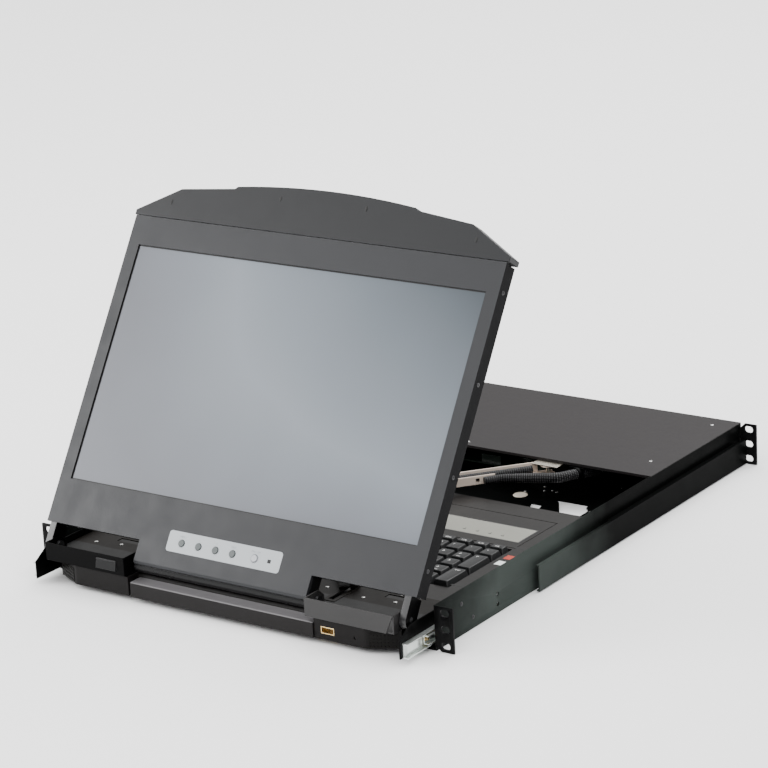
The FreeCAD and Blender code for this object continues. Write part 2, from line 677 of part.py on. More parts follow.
def rear_panel():
    body = new_body("rear_panel")
    pad(body, "XZ", REAR_FACE - D.pan_sheet, REAR_FACE,
        [rectangle(-INSIDE, INSIDE, FLOOR, TOP - D.cover_sheet)])
    openings = [port_outline(INLET_X, D.inlet_wide, D.inlet_high),
                port_outline(ROCKER_X, D.rocker_wide, D.rocker_high),
                port_outline(D.video_x, D.video_wide, D.video_high),
                port_outline(D.data_x, D.data_wide, D.data_high)]
    pocket(body, "XZ", REAR_FACE - D.pan_sheet - D.past, REAR_FACE + D.past, openings)


def rear_connectors():
    """Power inlet, switch frame and the two console ports, one solid each."""
    body = new_body("rear_connectors")
    ends = REAR_FACE + D.cover_sheet
    inner = REAR_FACE - D.inlet_deep
    ports = [(INLET_X, D.inlet_wide, D.inlet_high, D.inlet_wall, ends),
             (ROCKER_X, D.rocker_wide, D.rocker_high, D.rocker_wall, ends),
             (D.video_x, D.video_wide, D.video_high, D.video_wall, REAR_FACE + D.port_reach),
             (D.data_x, D.data_wide, D.data_high, D.data_wall, ends)]
    for x, wide, high, wall, end in ports:
        pad(body, "XZ", inner, end, [port_outline(x, wide, high)])
    for x, wide, high, wall, end in ports:
        cavity = port_outline(x, wide - 2 * wall, high - 2 * wall)
        pocket(body, "XZ", inner + D.port_back, end + D.past, [cavity])
    blade = port_outline(INLET_X, D.blade_wide, D.blade_high)
    lower = [[(x + side * D.blade_step, z - D.blade_high / 2) for x, z in blade]
             for side in (-1, 1)]
    raised = [(x, z + D.blade_high / 2) for x, z in blade]
    core = inner + D.port_back / 2
    pad(body, "XZ", core, ends - D.blade_sink, lower + [raised])
    video = port_outline(D.video_x, D.video_wide - 2 * (D.video_wall + D.video_room),
                         D.video_high - 2 * D.video_room)
    pad(body, "XZ", core, REAR_FACE - D.cover_sheet, [video])
    data = port_outline(D.data_x, D.data_wide - 2 * D.data_room, D.data_high - 2 * D.data_room)
    pad(body, "XZ", core, REAR_FACE - D.data_sink, [data])


def power_switch():
    """Rocker with a vee face, tipped on its pivot."""
    body = new_body("power_switch")
    middle = up(D.port_up)
    half = D.rocker_high / 2 - D.rocker_wall - 2 * D.slide_gap
    wide = D.rocker_wide / 2 - D.rocker_wall - D.slide_gap
    y, waist = REAR_FACE, D.rocker_waist
    side, root = y - D.rocker_side, y - D.rocker_deep
    face = [(root, middle - half / 2), (side, middle - half), (y + waist, middle - half),
            (y + waist, middle), (y + D.rocker_proud, middle + half), (side, middle + half),
            (root, middle + half / 2)]
    pad(body, "YZ", ROCKER_X - wide, ROCKER_X + wide, [face])


SUPPLY_LEFT = -INSIDE + D.supply_in
SUPPLY_RIGHT = SUPPLY_LEFT + D.supply_wide


def main_board():
    """Board on four posts.  Chips are given as shares of the board and half a side."""
    body = new_body("main_board")
    base, top = up(D.board_up), up(D.board_up) + D.board_thick
    left, right = SUPPLY_RIGHT + D.board_gap, D.board_right
    back, edge = REAR_FACE - D.board_in, D.board_edge
    front = back - D.board_long
    wide, deep = right - left, back - front
    pad(body, "XY", base, top, [rectangle(left, right, front, back)])
    chips = [(0.18, 0.32, 0.063), (0.41, 0.56, 0.045), (0.63, 0.28, 0.054), (0.83, 0.68, 0.04)]
    squares = [rectangle(left + wide * (x - half), left + wide * (x + half),
                         front + deep * y - wide * half, front + deep * y + wide * half)
               for x, y, half in chips]
    pad(body, "XY", top, top + D.chip_high, squares)
    middle, reach = (left + right) / 2, D.header_long / 2
    start = front + D.header_in
    headers = [rectangle(middle + step * D.header_pitch - reach,
                         middle + step * D.header_pitch + reach, start, start + D.header_wide)
               for step in (-1, 0, 1)]
    pad(body, "XY", top, top + D.header_high, headers)
    posts = [(x, y, D.board_post) for x in (left + edge, right - edge)
             for y in (front + 2 * edge, back - edge)]
    pad(body, "XY", FLOOR, base, circles=posts)


def power_supply():
    body = new_body("power_supply")
    edge = D.supply_edge
    back, high = REAR_FACE - D.supply_behind, up(D.supply_high_up)
    front = back - D.supply_long
    pad(body, "XY", FLOOR, high, [rectangle(SUPPLY_LEFT, SUPPLY_RIGHT, front, back)])
    starts = [front + 2 * edge + D.supply_pitch * k for k in range(6)]
    slots = [rectangle(SUPPLY_LEFT + edge, SUPPLY_RIGHT - edge, start, start + D.supply_slot)
             for start in starts]
    pocket(body, "XY", high - D.supply_slot, high + D.past, slots)


def rear_bracket(label, side):
    """Channel that runs on the wall guide and carries a rear rack ear."""
    body = new_body(label)
    low, high = up(D.bracket_low_up), up(D.bracket_high_up)
    web = WALL + D.guide_reach + D.slide_gap
    face = web + D.pan_sheet
    lip = face - D.bracket_lip
    channel = [(lip, low), (face, low), (face, high), (lip, high), (lip, high - D.pan_sheet),
               (web, high - D.pan_sheet), (web, low + D.pan_sheet), (lip, low + D.pan_sheet)]
    inner = WALL + D.slide_gap
    edge = D.panel_width / 2
    corner = D.ear_corner
    ear = [(inner, LOW + corner), (inner + corner, LOW), (edge, LOW), (edge, TOP),
           (inner + corner, TOP), (inner, TOP - corner)]
    if side < 0:
        channel, ear = mirrored(channel), mirrored(ear)
    back = DEPTH
    pad(body, "XZ", back - D.bracket_long, back, [channel])
    pad(body, "XZ", back - D.ear_sheet, back, [ear])
    cut_slots(body, "XZ", back - D.ear_sheet - D.past, back + D.past, slot_centres((side,)),
              D.ear_slot_width, D.ear_slot_height)


# ---------------------------------------------------------------- ball slides


def rail_section(member, outside, height):
    """Section of one rail on the right.  The slide's small rail lies against outside."""
    inside = outside - D.slide_thick
    steps = {"outer": 0, "middle": 1, "inner": 2}
    ends = {"outer": inside + D.slide_thick - D.rail_step, "middle": outside - D.slide_gap,
            "inner": outside}
    halves = {"outer": D.rail_outer_half, "middle": D.rail_middle_half,
              "inner": D.rail_inner_half}
    sheet_thick = D.rail_sheet if member != "inner" else D.rail_sheet * 0.8
    web = inside + steps[member] * D.rail_step
    end, half, middle = ends[member], halves[member], up(height)
    return [(web, middle - half), (end, middle - half), (end, middle - half + sheet_thick),
            (web + sheet_thick, middle - half + sheet_thick),
            (web + sheet_thick, middle + half - sheet_thick),
            (end, middle + half - sheet_thick), (end, middle + half), (web, middle + half)]


def rails(label, member, outside, height, front, length):
    body = new_body(label)
    pad(body, "XZ", front, front + length, pair(rail_section(member, outside, height)))


def ball_cages(label, outside, height, front, length):
    """Cages between the big rails and the middle rails."""
    body = new_body(label)
    start = outside - D.slide_thick + D.rail_sheet + D.slide_gap / 2
    race = (D.rail_outer_half - D.rail_sheet + D.rail_middle_half) / 2
    half = race + D.cage_sheet / 2
    end = outside - D.slide_thick + D.cage_deep
    middle = up(height)
    cage = [(start, middle - half), (end, middle - half), (end, middle - half + D.cage_sheet),
            (start + D.cage_sheet, middle - half + D.cage_sheet),
            (start + D.cage_sheet, middle + half - D.cage_sheet),
            (end, middle + half - D.cage_sheet), (end, middle + half), (start, middle + half)]
    pad(body, "XZ", front, front + length, pair(cage))


KEY_RAIL_X = INSIDE - D.key_bracket_in


def keyboard_rail_brackets():
    body = new_body("keyboard_rail_brackets")
    inner = KEY_RAIL_X
    outer = inner + D.pan_sheet
    high = up(D.key_slide_up + D.rail_outer_half)
    angle = [(inner - D.key_bracket_foot, FLOOR), (outer, FLOOR), (outer, high), (inner, high),
             (inner, FLOOR + D.pan_sheet), (inner - D.key_bracket_foot, FLOOR + D.pan_sheet)]
    pad(body, "XZ", D.key_rail_front, D.key_rail_front + D.key_rail_long, pair(angle))


chassis_pan()
rear_cover()
rear_panel()
rear_connectors()
power_switch()
main_board()
power_supply()
rear_bracket("rear_bracket_left", -1)
rear_bracket("rear_bracket_right", 1)
rails("lcd_fixed_rails", "inner", INSIDE, D.lcd_slide_up, D.lcd_fixed_front,
      SLIDE_END - D.lcd_fixed_front)
rails("lcd_middle_rails", "middle", INSIDE, D.lcd_slide_up, D.lcd_middle_front,
      SLIDE_END - D.lcd_travel / 2 - D.lcd_middle_front)
rails("lcd_carriage_rails", "outer", INSIDE, D.lcd_slide_up, D.lcd_rail_front, D.lcd_rail_long)
ball_cages("lcd_ball_cages", INSIDE, D.lcd_slide_up, D.lcd_cage_front, D.lcd_cage_long)
keyboard_rail_brackets()
rails("keyboard_fixed_rails", "inner", KEY_RAIL_X, D.key_slide_up,
      D.key_rail_front, D.key_rail_long)
rails("keyboard_middle_rails", "middle", KEY_RAIL_X, D.key_slide_up,
      D.key_rail_front, D.key_rail_long)
rails("keyboard_drawer_rails", "outer", KEY_RAIL_X, D.key_slide_up,
      D.key_rail_front, D.key_rail_long)

# ---------------------------------------------------------------- display carriage

PLATE_OUT = INSIDE - D.slide_thick
PLATE_IN = PLATE_OUT - D.plate_sheet
BAR_LOW = up(D.bar_low_up)
BAR_TOP = BAR_LOW + D.bar_sheet
PIVOT_Z = up(D.pivot_up)
ARM_OUTER = PLATE_IN - D.arm_in
ARM_INNER = ARM_OUTER - D.arm_thick
BOX_INNER = D.tongue_half + D.tongue_clear
BOX_OUTER = ARM_INNER - D.arm_clear
TAB_RIGHT = -(BOX_INNER + D.tab_in)
TAB_LEFT = TAB_RIGHT - D.tab_wide


def both_ends(start, end):
    """The same run along X on the right and on the left."""
    return [(start, end), (-sized(end), -sized(start))]


def carriage_plates():
    body = new_body("carriage_plates")
    low, tail, high = up(D.plate_low_up), up(D.plate_tail_up), up(D.plate_high_up)
    front = D.plate_front
    side = [(front, low), (D.plate_back, low), (D.plate_back, tail),
            (D.bar_back + D.plate_tail, tail), (D.bar_back + D.plate_slope, high),
            (front + D.plate_nose, high), (front, up(D.plate_nose_up))]
    for start, end in both_ends(PLATE_IN, PLATE_OUT):
        pad(body, "YZ", start, end, [side])


def arm_slot(clear):
    """The slot that the front pin of the cable arm runs in."""
    half = D.link_pin + clear
    return rectangle(D.link_x - half, D.link_x + half,
                     D.link_front_y - D.link_wander - half, D.link_front_y + half)


def carriage_crossbar():
    body = new_body("carriage_crossbar")
    pad(body, "XY", BAR_LOW, BAR_TOP, [rectangle(-PLATE_IN, PLATE_IN, D.bar_front, D.bar_back)])
    ends = rectangle(PLATE_IN - D.bar_sheet, PLATE_IN, D.bar_front, D.bar_back)
    pad(body, "XY", BAR_LOW - D.bar_end, BAR_LOW, pair(ends))
    half, deep = D.bar_window / 2, D.bar_window_deep
    windows = [rectangle(PLATE_IN * share - half, PLATE_IN * share + half,
                         D.bar_back - 2 * deep, D.bar_back - deep)
               for share in (-0.75, -0.3, 0, 0.75)]
    pocket(body, "XY", BAR_LOW - D.past, BAR_TOP + D.past, windows + [arm_slot(D.slide_gap)])


def hinge_box(label, side, tab_window):
    """Open trough that carries one pair of hinge pins in its end walls."""
    body = new_body(label)
    front, back, high = D.box_front, D.bar_front, up(D.box_high_up)
    skin = [(front, BAR_LOW), (back, BAR_LOW), (back, BAR_TOP), (front + D.box_wall, BAR_TOP),
            (front + D.box_wall, high), (front, high)]
    cheek = [(front, BAR_LOW), (back, BAR_LOW), (back, PIVOT_Z + D.cheek_over),
             (D.pivot_y + D.cheek_flat, high), (front, high)]
    index = 0 if side > 0 else 1
    runs = [both_ends(BOX_INNER, BOX_OUTER)[index],
            both_ends(BOX_INNER, BOX_INNER + D.box_wall)[index],
            both_ends(BOX_OUTER - D.box_wall, BOX_OUTER)[index]]
    for run, outline in zip(runs, (skin, cheek, cheek)):
        pad(body, "YZ", *run, [outline])
    hole = (D.pivot_y, PIVOT_Z, D.pin_radius + D.pin_clear)
    pocket(body, "YZ", runs[0][0] - D.past, runs[0][1] + D.past, circles=[hole])
    if tab_window:
        window = rectangle(TAB_LEFT, TAB_RIGHT, up(D.tab_low_up), up(D.tab_high_up))
        pocket(body, "XZ", front - D.past, front + D.box_wall + D.past, [window])
    else:
        slant = [(BOX_OUTER, high), (BOX_OUTER - D.box_slant, BAR_LOW), (BOX_OUTER, BAR_LOW)]
        pocket(body, "XZ", front, front + D.box_wall, [slant])


def release_tab():
    """Sprung flap in the window of the left hinge box, on a barrel along its top."""
    body = new_body("release_tab")
    barrel = D.tab_barrel
    long = D.tab_high_up - D.tab_low_up - 2 * D.slide_gap - barrel
    half = D.box_wall / 2
    start, end = TAB_LEFT + D.slide_gap, TAB_RIGHT - D.slide_gap
    pad(body, "YZ", start, end, circles=[(0, 0, barrel)])
    pad(body, "YZ", start, end, [rectangle(-half, half, -long, 0)])
    place(body, 0, D.box_front + half, up(D.tab_high_up) - D.slide_gap - barrel)
    body.Placement.Rotation = FreeCAD.Rotation(FreeCAD.Vector(1, 0, 0), 0)
    bind(body, "Placement.Rotation.Angle", -D.tab_lean)


def cable_arm_guide():
    """Low rim round the slot in the crossbar."""
    body = new_body("cable_arm_guide")
    slot = arm_slot(D.slide_gap)
    pad(body, "XY", BAR_TOP, BAR_TOP + D.guide_thick, [grown(slot, D.guide_rim), slot])


# ---------------------------------------------------------------- display panel
# These pieces are drawn with X across, Y up the panel from the hinge axis and Z
# out through the screen, then leaned back together about the hinge axis.

FACE = D.lcd_front
BACK = D.lcd_front - D.lcd_thick
SEAT = D.lcd_front - D.bezel_thick
LIP = D.lcd_front - D.bezel_lip
HALF = WALL - D.bezel_in
SCREEN_HALF = HALF - D.screen_side
LABEL_FLOOR = FACE - D.label_sink
LABEL_FACE = FACE + D.label_proud


def on_display(thing):
    place(thing, 0, D.pivot_y, PIVOT_Z)
    thing.Placement.Rotation = FreeCAD.Rotation(FreeCAD.Vector(1, 0, 0), 45)
    bind(thing, "Placement.Rotation.Angle", 90 - D.lcd_lean)
    return thing


def button_places():
    menu = [D.button_first + k * D.button_pitch for k in range(4)]
    return menu + [D.button_power]


def label_outline():
    return rectangle(D.label_left, D.label_right, D.label_low, D.label_high)


def label_corners(edge):
    on_side = any(edge_along("z", x=side)(edge) for side in (D.label_left, D.label_right))
    return on_side and LABEL_FLOOR.number - 0.01 < edge.CenterOfMass.z < LABEL_FACE.number + 0.01


def lcd_bezel():
    body = on_display(new_body("lcd_bezel"))
    tongue = [(-HALF, D.bezel_low), (-D.tongue_half, D.bezel_low), (-D.tongue_half, D.tongue_low),
              (D.tongue_half, D.tongue_low), (D.tongue_half, D.bezel_low), (HALF, D.bezel_low),
              (HALF, D.bezel_high), (-HALF, D.bezel_high)]
    pad(body, "XY", SEAT, FACE, [tongue])
    dress(body, "Fillet", D.tongue_round, edge_along("x", y=D.tongue_low, z=FACE))
    window = rectangle(-SCREEN_HALF, SCREEN_HALF, D.screen_low, D.screen_high)
    pocket(body, "XY", SEAT - D.past, FACE + D.past, [window])
    seat = grown(window, D.screen_edge)
    pocket(body, "XY", SEAT - D.past, LIP, [seat])
    pocket(body, "XY", LABEL_FLOOR, FACE + D.past, [label_outline()])
    dress(body, "Fillet", D.label_corner, label_corners)
    holes = [(x, D.button_row, D.button_radius + D.button_clear) for x in button_places()]
    pocket(body, "XY", SEAT - D.past, FACE, circles=holes)


def lcd_back_cover():
    body = on_display(new_body("lcd_back_cover"))
    half, wall = HALF - D.shell_inset, D.shell_wall
    low, high = D.bezel_low + D.shell_inset, D.bezel_high - D.shell_inset
    outline = [(-half, low), (-D.tongue_half, low), (-D.tongue_half, D.tongue_low),
               (D.tongue_half, D.tongue_low), (D.tongue_half, low), (half, low),
               (half, high), (-half, high)]
    pad(body, "XY", BACK, SEAT, [outline])
    dress(body, "Fillet", D.tongue_round, edge_along("x", y=D.tongue_low, z=BACK))
    side = D.tongue_half
    pad(body, "YZ", -side, side, circles=[(-D.tube_drop, 0, D.tube_radius)])
    under = D.tongue_low - D.slide_gap
    pocket(body, "XY", SEAT, FACE, [rectangle(-side - D.past, side + D.past, under, low)])
    pocket(body, "XY", BACK + wall, SEAT + D.past,
           [rectangle(-half + wall, half - wall, low + wall, high - wall)])
    inner = side - D.tongue_wall
    pocket(body, "XY", BACK + wall, SEAT + D.past,
           [rectangle(-inner, inner, D.tongue_low + 2 * wall, low + 2 * wall)])
    pocket(body, "YZ", -side - D.past, side + D.past, circles=[(0, 0, D.pin_radius)])
    top = D.screen_high - D.vent_drop
    starts = [D.vent_side + D.vent_pitch * k for k in range(9)]
    vents = [rectangle(start, start + D.vent_wide, top - D.vent_long, top) for start in starts]
    vents += [mirrored(vent) for vent in vents]
    pocket(body, "XY", BACK - D.past, BACK + wall + D.past, vents)


def lcd_screen():
    body = on_display(new_body("lcd_screen"))
    edge = D.screen_edge
    pad(body, "XY", LIP - D.screen_thick, LIP,
        [grown(rectangle(-SCREEN_HALF, SCREEN_HALF, D.screen_low, D.screen_high), edge)])


def grip_outline(inset):
    """Handle outline, or one drawn in by a wall, ready to be arched along the crown."""
    base = D.bezel_high + D.seam
    half = HALF + D.grip_over
    right = [(half - inset, base + inset), (half - inset, base + D.grip_side - inset / 3),
             (half - D.grip_slope - inset / 2, base + D.grip_shoulder - inset),
             (D.grip_step_half, base + D.grip_step - inset),
             (D.grip_crown_half - inset / 2, base + D.grip_crown - inset)]
    return right + [(-x, y) for x, y in reversed(right)]


def upper_handle():
    """Hollow moulded pull, open towards the back, with ribs across it."""
    body = on_display(new_body("upper_handle"))
    pad(body, "XY", BACK, FACE, [grip_outline(Size(0))], crown=(4, D.grip_rise))
    pocket(body, "XY", BACK - D.past, FACE - D.grip_wall, [grip_outline(D.grip_wall)],
           crown=(4, D.grip_rise))
    base, half, sink = D.bezel_high + D.seam, D.rib_thick / 2, D.grip_wall / 3
    ribs = [rectangle(step * D.rib_pitch - half, step * D.rib_pitch + half,
                      base + sink, base + D.grip_shoulder - sink) for step in range(-2, 3)]
    pad(body, "XY", BACK + D.rib_sink, FACE - sink, ribs)


def control_plate():
    body = on_display(new_body("control_plate"))
    pad(body, "XY", LABEL_FLOOR, LABEL_FACE, [label_outline()])
    dress(body, "Fillet", D.label_corner, label_corners)
    holes = [(x, D.button_row, D.button_radius + D.button_clear) for x in button_places()]
    pocket(body, "XY", LABEL_FLOOR - D.past, LABEL_FACE + D.past, circles=holes)


def display_button(label, x):
    body = on_display(new_body(label))
    face = LABEL_FACE + D.button_proud
    pad(body, "XY", face - D.button_deep, face, circles=[(x, D.button_row, D.button_radius)])
    dress(body, "Fillet", D.button_clear, lambda edge: edge.CenterOfMass.z > face.number - 0.01)


def hinge_arms():
    body = on_display(new_body("hinge_arms"))
    for start, end in both_ends(ARM_INNER, ARM_OUTER):
        pad(body, "YZ", start, end, circles=[(0, 0, D.arm_round)])
        neck = [(0, -D.arm_round), (D.bezel_low, BACK), (D.bezel_low, FACE), (0, D.arm_round)]
        pad(body, "YZ", start, end, [neck])
    pocket(body, "YZ", -ARM_OUTER - D.past, ARM_OUTER + D.past, circles=[(0, 0, D.pin_radius)])


def hinge_pins():
    """Four pins; each has a collar just inside the box wall that it turns in."""
    body = on_display(new_body("hinge_pins"))
    inner_wall = BOX_INNER + D.box_wall + D.slide_gap
    outer_wall = BOX_OUTER - D.box_wall - D.slide_gap
    tongue_side = D.tongue_half - D.tongue_wall
    shafts = [(tongue_side, inner_wall + D.collar_long), (outer_wall - D.collar_long, ARM_OUTER)]
    collars = [(inner_wall, inner_wall + D.collar_long), (outer_wall - D.collar_long, outer_wall)]
    for runs, radius in ((shafts, D.pin_radius), (collars, D.collar_radius)):
        for run in runs:
            for start, end in both_ends(*run):
                pad(body, "YZ", start, end, circles=[(0, 0, radius)])


def lcd_screws():
    """Screws along both edges of the back cover."""
    side = HALF - D.shell_inset
    heads = []
    for k in range(4):
        height = D.edge_screw_first + k * D.edge_screw_pitch
        for name, x in (("right", side), ("left", -side - D.screw_proud)):
            heads.append(rod(f"edge_screw_{name}_{k}", "x", x, height, FACE - D.edge_screw_back,
                             D.screw_head, D.screw_proud))
    on_display(node(grouped("lcd_screw_group", heads), "lcd_screws"))


# ---------------------------------------------------------------- keyboard drawer

TRAY_SIDE = KEY_RAIL_X - D.slide_thick
TRAY_LOW = up(D.drawer_low_up)
DECK_TOP = up(D.deck_up)
DECK_LOW = DECK_TOP - D.deck_thick
FRONT_SIDE = TRAY_SIDE - D.front_in
FRONT_CORNER = FRONT_SIDE - D.front_chamfer
RESET_X = FRONT_CORNER - D.reset_in
USB_X = RESET_X - D.reset_step
GRIP_RIGHT = USB_X - D.usb_wide / 2 - D.usb_in
GRIP_LEFT = -D.tongue_half
FIELD_HALF = D.key_units * D.key_pitch / 2
FIELD_BACK = D.key_front + 5 * D.key_pitch + D.function_depth
WELL = rectangle(-FIELD_HALF - D.well_margin, FIELD_HALF + D.well_margin,
                 D.key_front - D.well_margin, FIELD_BACK + D.well_margin)


def drawer_tray():
    body = new_body("drawer_tray")
    sheet_thick = D.tray_sheet
    trough = [(-TRAY_SIDE, TRAY_LOW), (TRAY_SIDE, TRAY_LOW), (TRAY_SIDE, DECK_LOW),
              (TRAY_SIDE - sheet_thick, DECK_LOW), (TRAY_SIDE - sheet_thick, TRAY_LOW + sheet_thick),
              (-TRAY_SIDE + sheet_thick, TRAY_LOW + sheet_thick),
              (-TRAY_SIDE + sheet_thick, DECK_LOW), (-TRAY_SIDE, DECK_LOW)]
    pad(body, "XZ", D.deck_front, D.tray_back, [trough])
    pad(body, "XZ", D.tray_back - sheet_thick, D.tray_back,
        [rectangle(-TRAY_SIDE, TRAY_SIDE, TRAY_LOW, DECK_LOW)])
    outer = TRAY_SIDE - D.foot_in
    foot = rectangle(outer - D.foot_wide, outer, D.deck_front + D.foot_end, D.tray_back - D.foot_end)
    pad(body, "XY", TRAY_LOW, TRAY_LOW + D.foot_high, pair(foot))


def keyboard_deck():
    body = new_body("keyboard_deck")
    half, corner, past = KEY_RAIL_X - D.deck_in, D.deck_corner, D.past
    plate = [(-half, D.deck_front), (half, D.deck_front), (half, D.deck_back - corner),
             (half - corner, D.deck_back), (-half + corner, D.deck_back),
             (-half, D.deck_back - corner)]
    pad(body, "XY", DECK_LOW, DECK_TOP, [plate])
    pad(body, "XY", up(D.mat_up) - D.mat_thick, DECK_LOW, [grown(WELL, D.tray_sheet)])
    pocket(body, "XY", up(D.mat_up) - D.mat_thick - past, DECK_TOP + past, [WELL])
    strip = rectangle(-D.strip_half, D.strip_half, D.strip_front, D.strip_back)
    pocket(body, "XY", DECK_TOP - D.strip_sink, DECK_TOP + past, [strip])
    reach = D.strip_half + D.groove_out
    groove = rectangle(-reach, reach, D.groove_front, D.groove_back)
    pocket(body, "XY", DECK_TOP - D.groove_deep, DECK_TOP + past,
           [grown(groove, D.groove_wide), groove])
    touch = rectangle(-D.touch_half, D.touch_half, D.touch_front, D.touch_back)
    clicks = rectangle(-D.touch_half - D.slide_gap, D.touch_half + D.slide_gap,
                       D.click_front - D.slide_gap, D.click_back + D.slide_gap)
    pocket(body, "XY", DECK_LOW - past, DECK_TOP + past, [touch, clicks])


def key_mat():
    body = new_body("key_mat")
    pad(body, "XY", up(D.mat_up) - D.mat_thick, up(D.mat_up), [WELL])


def port_strip():
    body = new_body("port_strip")
    pad(body, "XY", DECK_TOP - D.strip_sink, DECK_TOP + D.strip_proud,
        [rectangle(-D.strip_half, D.strip_half, D.strip_front, D.strip_back)])


def touchpad():
    body = new_body("touchpad")
    pad(body, "XY", DECK_LOW, DECK_TOP - D.touch_sink,
        [rectangle(-D.touch_half, D.touch_half, D.touch_front, D.touch_back)])


def touchpad_button(label, side):
    body = new_body(label)
    outline = rectangle(D.slide_gap, D.touch_half, D.click_front, D.click_back)
    if side < 0:
        outline = mirrored(outline)
    pad(body, "XY", DECK_TOP - D.click_thick, DECK_TOP, [outline])


def drawer_front():
    """Moulded front with a chamfer at each end and room for the lower handle."""
    body = new_body("drawer_front")
    face, back, wall, past = D.front_face, D.deck_front, D.front_wall, D.past
    low, high = up(D.front_low_up), up(D.front_high_up)
    start, end = GRIP_LEFT - D.grip_bar_gap, GRIP_RIGHT + D.slide_gap
    ending = [(FRONT_CORNER, face), (FRONT_SIDE, D.front_side_y), (FRONT_SIDE, back)]
    recess = back - wall
    outline = [(start, recess), (end, recess), (end, face)] + ending
    outline += [(-x, y) for x, y in reversed(ending)] + [(start, face)]
    pad(body, "XY", low, high, [outline])
    dress(body, "Fillet", D.front_round, edge_along("z", x=FRONT_CORNER, y=face))
    pocket(body, "XY", DECK_TOP, high + past, [rectangle(start, end, recess - past, back + past)])
    slope = D.front_chamfer / (D.front_side_y - face)
    inner_x = FRONT_CORNER - wall / 4
    for side, limit in ((1, end), (-1, -start)):
        inner = [(limit + wall, face + wall), (inner_x, face + wall),
                 (inner_x + (recess - face - wall) * slope, recess), (limit + wall, recess)]
        if side < 0:
            inner = mirrored(inner)
        pocket(body, "XY", low - past, high - wall, [inner])
    usb = rectangle(USB_X - D.usb_wide / 2, USB_X + D.usb_wide / 2,
                    up(D.usb_up) - D.usb_high / 2, up(D.usb_up) + D.usb_high / 2)
    pocket(body, "XZ", face - past, face + wall + past, [usb])
    pocket(body, "XZ", face - past, face + wall + past,
           circles=[(RESET_X, up(D.reset_up), D.reset_radius)])


def lower_handle():
    """Pull along the middle of the drawer front, open below for the fingers."""
    body = new_body("lower_handle")
    wall, low = D.grip_bar_wall, up(D.front_low_up)
    face, back = D.front_face - D.grip_bar_proud, D.deck_front - D.front_wall
    section = [(face, low), (face + wall, low), (face + wall, DECK_TOP - wall),
               (back, DECK_TOP - wall), (back, DECK_TOP), (face, DECK_TOP)]
    pad(body, "YZ", GRIP_LEFT, GRIP_RIGHT, [section])
    dress(body, "Fillet", D.grip_bar_round, edge_along("x", y=face, z=DECK_TOP))


def usb_socket():
    body = new_body("usb_socket")
    middle, face = up(D.usb_up), D.front_face
    half_wide, half_high, wall = D.usb_wide / 2, D.usb_high / 2, D.usb_wall
    shell = rectangle(USB_X - half_wide, USB_X + half_wide, middle - half_high, middle + half_high)
    pad(body, "XZ", face, face + D.usb_deep, [shell])
    pocket(body, "XZ", face - D.past, face + D.usb_deep - wall, [grown(shell, -wall)])
    roof = middle + half_high - wall
    pad(body, "XZ", face + D.usb_sink, face + D.usb_deep,
        [rectangle(USB_X - half_wide + 2 * wall, USB_X + half_wide - 2 * wall,
                   roof - D.usb_tongue, roof)])


def reset_button():
    body = new_body("reset_button")
    start = D.front_face + D.front_wall / 2
    pad(body, "XZ", start, start + D.reset_long,
        circles=[(RESET_X, up(D.reset_up), D.reset_radius - D.slide_gap)])


def key_cap(name, x, y, wide, deep):
    """One tapered cap; x and y are its front left corner in the field."""
    gap, taper = D.key_gap / 2, D.key_taper
    cap = doc.addObject("Part::Wedge", name)
    width = sized(wide) - 2 * gap
    depth = sized(deep) - 2 * gap
    height = D.key_tall
    fields = {"Xmin": 0, "Xmax": width, "X2min": taper, "X2max": width - taper,
              "Zmin": 0, "Zmax": depth, "Z2min": taper, "Z2max": depth - taper,
              "Ymin": 0, "Ymax": height}
    cap.Xmax, cap.Zmax, cap.Ymax = width.number, depth.number, height.number
    for field, size in fields.items():
        bind(cap, field, size)
    cap.Placement.Rotation = FreeCAD.Rotation(FreeCAD.Vector(1, 0, 0), 90)
    return place(cap, x + gap, y + gap + depth, up(D.mat_up + D.key_cushion + D.key_travel))


def key_row(label, y, deep, units, tall=()):
    """A row of caps.  Negative units are gaps; tall names caps two rows deep."""
    pitch = D.key_pitch
    across = 0
    caps = []
    for k, unit in enumerate(units):
        if unit > 0:
            reach = deep + pitch if k in tall else deep
            start = y - pitch if k in tall else y
            caps.append(key_cap(f"{label}_{k}", -FIELD_HALF + across * pitch, start,
                                unit * pitch, reach))
        across += abs(unit)
    node(grouped(label + "_group", caps), label)


def keyboard_keys():
    pad_gap = -D.pad_gap.number
    rows = [
        ("function_keys", [1] * 14 + [pad_gap] + [1] * 4, ()),
        ("number_keys", [1] * 14 + [pad_gap] + [1] * 4, ()),
        ("upper_letter_keys", [1.5] + [1] * 11 + [1.5, pad_gap] + [1] * 4, (17,)),
        ("home_keys", [1.75] + [1] * 10 + [2.25, pad_gap] + [1] * 3, ()),
        ("lower_letter_keys", [2.25] + [1] * 10 + [1.75, pad_gap] + [1] * 4, (16,)),
        ("bottom_keys", [1.25, 1, 1.25, -5.5, 1, 1, 1, 1, 1, pad_gap, 2, 1], ()),
    ]
    for k, (label, units, tall) in enumerate(rows):
        y = D.key_front + (5 - k) * D.key_pitch
        deep = D.function_depth if k == 0 else D.key_pitch
        key_row(label, y, deep, units, tall)
    key_row("space_bar", D.key_front, D.key_pitch, [-3.5, 5.5])


# ---------------------------------------------------------------- cable arm


LINK_LONG = (LINK_REAR - D.link_front_y) / (2 * cosine(D.link_angle))


